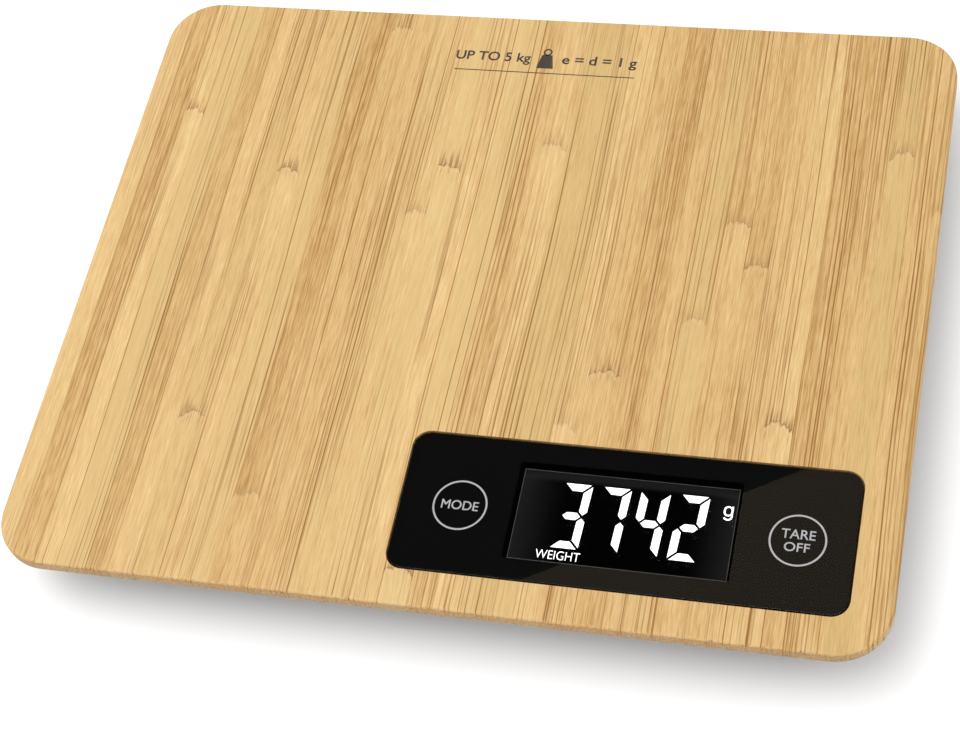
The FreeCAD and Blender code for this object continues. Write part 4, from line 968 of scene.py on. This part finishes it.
# %% Finish the cells and the leads
cell_low, cell_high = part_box("battery_cell_2")
sleeve = Finish("cell_sleeve")
sleeve_x = sleeve.parts(sleeve.place)[0]
half_cell = (cell_high.x - cell_low.x) / 2
from_middle = abs(sleeve_x - (cell_low.x + cell_high.x) / 2)
bare = sleeve.rise(from_middle, half_cell - 1.6 * MM, half_cell - 1.4 * MM)
band = sleeve.rise(sleeve_x, 9.0 * MM, 9.2 * MM)
scuffs = sleeve.noise(sleeve.stretched((200, 900, 900)), detail=3.0)
sleeve_colour = sleeve.blend(band, tint(28, 34, 44), tint(176, 128, 70))
sleeve_colour = sleeve.blend(bare, sleeve_colour, tint(208, 206, 200))
sleeve_material = sleeve.done(sleeve.shader(
    Base_Color=sleeve_colour, Metallic=bare, Roughness=0.28 + scuffs * 0.15))
dress(sleeve_material, "battery_cell_1", "battery_cell_2", "battery_cell_3")


def insulation(name, dark, light):
    finish = Finish(name)
    cloud = finish.noise(finish.place, detail=2.0, scale=600.0)
    colour = finish.blend(cloud, dark, light)
    return finish.done(finish.shader(
        Base_Color=colour, Roughness=0.42 + cloud * 0.15, Normal=finish.bump(cloud, 0.02 * MM)))


red_lead = insulation("red_lead", tint(138, 20, 16), tint(176, 34, 26))
black_lead = insulation("black_lead", tint(22, 22, 23), tint(38, 38, 40))
dress(red_lead, "battery_lead_positive", *["load_cell_lead_" + corner for corner in corners])
dress(black_lead, "battery_lead_negative")

# %% [markdown]
# ## The rubber pads
#
# Each foot stands on a disc of soft rubber with three ribs that grip the table. A disc
# like this is a turned shape, so its outline is drawn once, from the middle to the rim
# and back, and spun about the foot's axis. Spinning leaves doubled vertices on the
# axis, and they are merged so that the solid is closed.

# %% Turn a shape on an axis
def turned(outline, centre, steps=72):
    """A closed solid from an outline of radius and height, in millimetres."""
    shape = bmesh.new()
    verts = [shape.verts.new((centre[0] + radius * MM, centre[1], height * MM))
             for radius, height in outline]
    edges = [shape.edges.new(pair) for pair in zip(verts, verts[1:])]
    bmesh.ops.spin(shape, geom=verts + edges, cent=(centre[0], centre[1], 0), axis=(0, 0, 1),
                   angle=2 * math.pi, steps=steps, use_merge=True)
    bmesh.ops.remove_doubles(shape, verts=shape.verts, dist=1e-6)
    return shape


PAD_OUTLINE = [
    (0, 0.45), (2.0, 0.45), (2.25, 0.15), (2.5, 0), (3.5, 0), (3.75, 0.15), (4.0, 0.45),
    (5.2, 0.45), (5.45, 0.15), (5.7, 0), (6.7, 0), (6.95, 0.15), (7.2, 0.45),
    (8.0, 0.45), (8.2, 0.15), (8.45, 0), (9.3, 0), (9.7, 0.12), (9.92, 0.4), (10, 0.7),
    (10, 1.8), (0, 1.8)]
for corner in corners:
    pad_low, pad_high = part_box("foot_pad_" + corner)
    pad = turned(PAD_OUTLINE, (pad_low + pad_high) / 2)
    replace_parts(piece("ribbed_pad_" + corner, pad, pad_black), "foot_pad_" + corner)

# %% [markdown]
# ## The case screws
#
# Eight self-tapping screws close the case from below. The engineering model gives them
# plain heads. Here each gets a domed head with a cross recess and a ringed shank, and
# takes the very place of the plain one: the plain screws' mesh falls apart into loose
# islands, and each island's box says where a screw stands and how tall it is.

# %% Find the islands of a node
def islands(name):
    """The lowest and highest corner of each separate solid in a node."""
    shape = bmesh.new()
    shape.from_mesh(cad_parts[name].data)
    bmesh.ops.remove_doubles(shape, verts=shape.verts, dist=1e-6)
    left, boxes = set(shape.verts), []
    while left:
        group, edge_of_group = set(), [left.pop()]
        while edge_of_group:
            vert = edge_of_group.pop()
            group.add(vert)
            for edge in vert.link_edges:
                other = edge.other_vert(vert)
                if other in left:
                    left.remove(other)
                    edge_of_group.append(other)
        boxes.append(box_of(group))
    shape.free()
    return boxes


screw_boxes = islands("case_screws")
screw_low, screw_high = screw_boxes[0]
screw_height = (screw_high.z - screw_low.z) / MM
print(len(screw_boxes), "case screws,", round(screw_height, 2), "mm tall")

# %% Shape one screw
SHANK = 1.3
THREAD_PITCH = 1.1
HEAD_RADIUS, HEAD_HEIGHT = 2.6, 1.8
outline = [
    (0, 0), (1.2, 0.04), (1.9, 0.22), (2.4, 0.62), (HEAD_RADIUS, 1.1),
    (HEAD_RADIUS, HEAD_HEIGHT), (SHANK, HEAD_HEIGHT)]
height = HEAD_HEIGHT + 0.6
while height < screw_height - 1.6:
    outline += [(SHANK * 0.8, height), (SHANK, height + THREAD_PITCH / 2)]
    height += THREAD_PITCH
outline += [(SHANK * 0.75, screw_height - 1.0), (0, screw_height)]

CROSS_SLOT, CROSS_ARM, CROSS_DEPTH = 0.64 * MM, 1.15 * MM, 1.9 * MM
cross = bmesh.new()
bmesh.ops.create_cube(
    cross, size=1.0, matrix=Matrix.Diagonal((CROSS_SLOT, CROSS_SLOT, CROSS_DEPTH, 1)))
sides = [face for face in cross.faces if abs(face.normal.z) < 0.5]
for arm in bmesh.ops.extrude_discrete_faces(cross, faces=sides)["faces"]:
    bmesh.ops.translate(cross, vec=arm.normal * CROSS_ARM, verts=arm.verts)

temporary = []
for name, shape in (("screw_blank", turned(outline, (0, 0), steps=40)), ("cross_tool", cross)):
    bmesh.ops.recalc_face_normals(shape, faces=shape.faces)
    mesh = bpy.data.meshes.new(name)
    shape.to_mesh(mesh)
    shape.free()
    temporary.append(bpy.data.objects.new(name, mesh))
    bpy.context.scene.collection.objects.link(temporary[-1])
blank, cross_tool = temporary
cutter = blank.modifiers.new("cross", "BOOLEAN")
cutter.operation = "DIFFERENCE"
cutter.solver = "EXACT"
cutter.object = cross_tool
print("blank", len(blank.data.polygons), "cross", len(cross_tool.data.polygons))
bpy.context.view_layer.update()
cut_blank = blank.evaluated_get(bpy.context.evaluated_depsgraph_get())
screw_mesh = bpy.data.meshes.new_from_object(cut_blank)
for thing in temporary:
    bpy.data.objects.remove(thing)
print("one screw has", len(screw_mesh.polygons), "faces")

# %% Drive the screws home
screws = bmesh.new()
for box_low, box_high in screw_boxes:
    placed = screw_mesh.copy()
    placed.transform(Matrix.Translation((
        (box_low.x + box_high.x) / 2, (box_low.y + box_high.y) / 2, box_low.z)))
    screws.from_mesh(placed)
    bpy.data.meshes.remove(placed)
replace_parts(piece("case_screw_set", screws, plated_steel), "case_screws")

# %% [markdown]
# ## The battery door's grip
#
# A thumb opens the door by pushing its front edge, so that edge has five low ribs and
# an arrow that points at the latch. They are moulded with the door, so they ride on
# the door's body and turn with it.

# %% Add ribs and an arrow to the door
door_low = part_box("battery_door")[0]
door_face = door_low.z
RIB = Vector((13 * MM, 0.8 * MM, 0.3 * MM))
RIB_COUNT, FIRST_RIB, RIB_STEP = 5, 4.2, 1.9
ARROW_FROM_EDGE = 15.6 * MM


def on_door(from_edge, height):
    """A place on the door's middle line, so far from its front edge."""
    return Matrix.Translation((0, door_low.y + from_edge, height))


grip = bmesh.new()
for index in range(RIB_COUNT):
    rib_place = on_door((FIRST_RIB + RIB_STEP * index) * MM, door_face - RIB.z / 4)
    bmesh.ops.create_cube(grip, size=1.0, matrix=rib_place @ Matrix.Diagonal((*RIB, 1)))
low_edges = [edge for edge in grip.edges
             if all(vert.co.z < door_face - RIB.z / 2 for vert in edge.verts)]
bmesh.ops.bevel(grip, geom=low_edges, offset=0.14 * MM, affect="EDGES",
                segments=3, profile=0.5, material=-1)
arrow_place = on_door(ARROW_FROM_EDGE, door_face - RIB.z * 0.7)
arrow = bmesh.ops.create_circle(
    grip, cap_ends=True, segments=3, radius=2.2 * MM,
    matrix=arrow_place @ Matrix.Rotation(-math.pi / 2, 4, "Z"))
arrow_faces = list({face for vert in arrow["verts"] for face in vert.link_faces})
bmesh.ops.solidify(grip, geom=arrow_faces, thickness=RIB.z)
piece("door_grip", grip, case_black, body="battery_door")
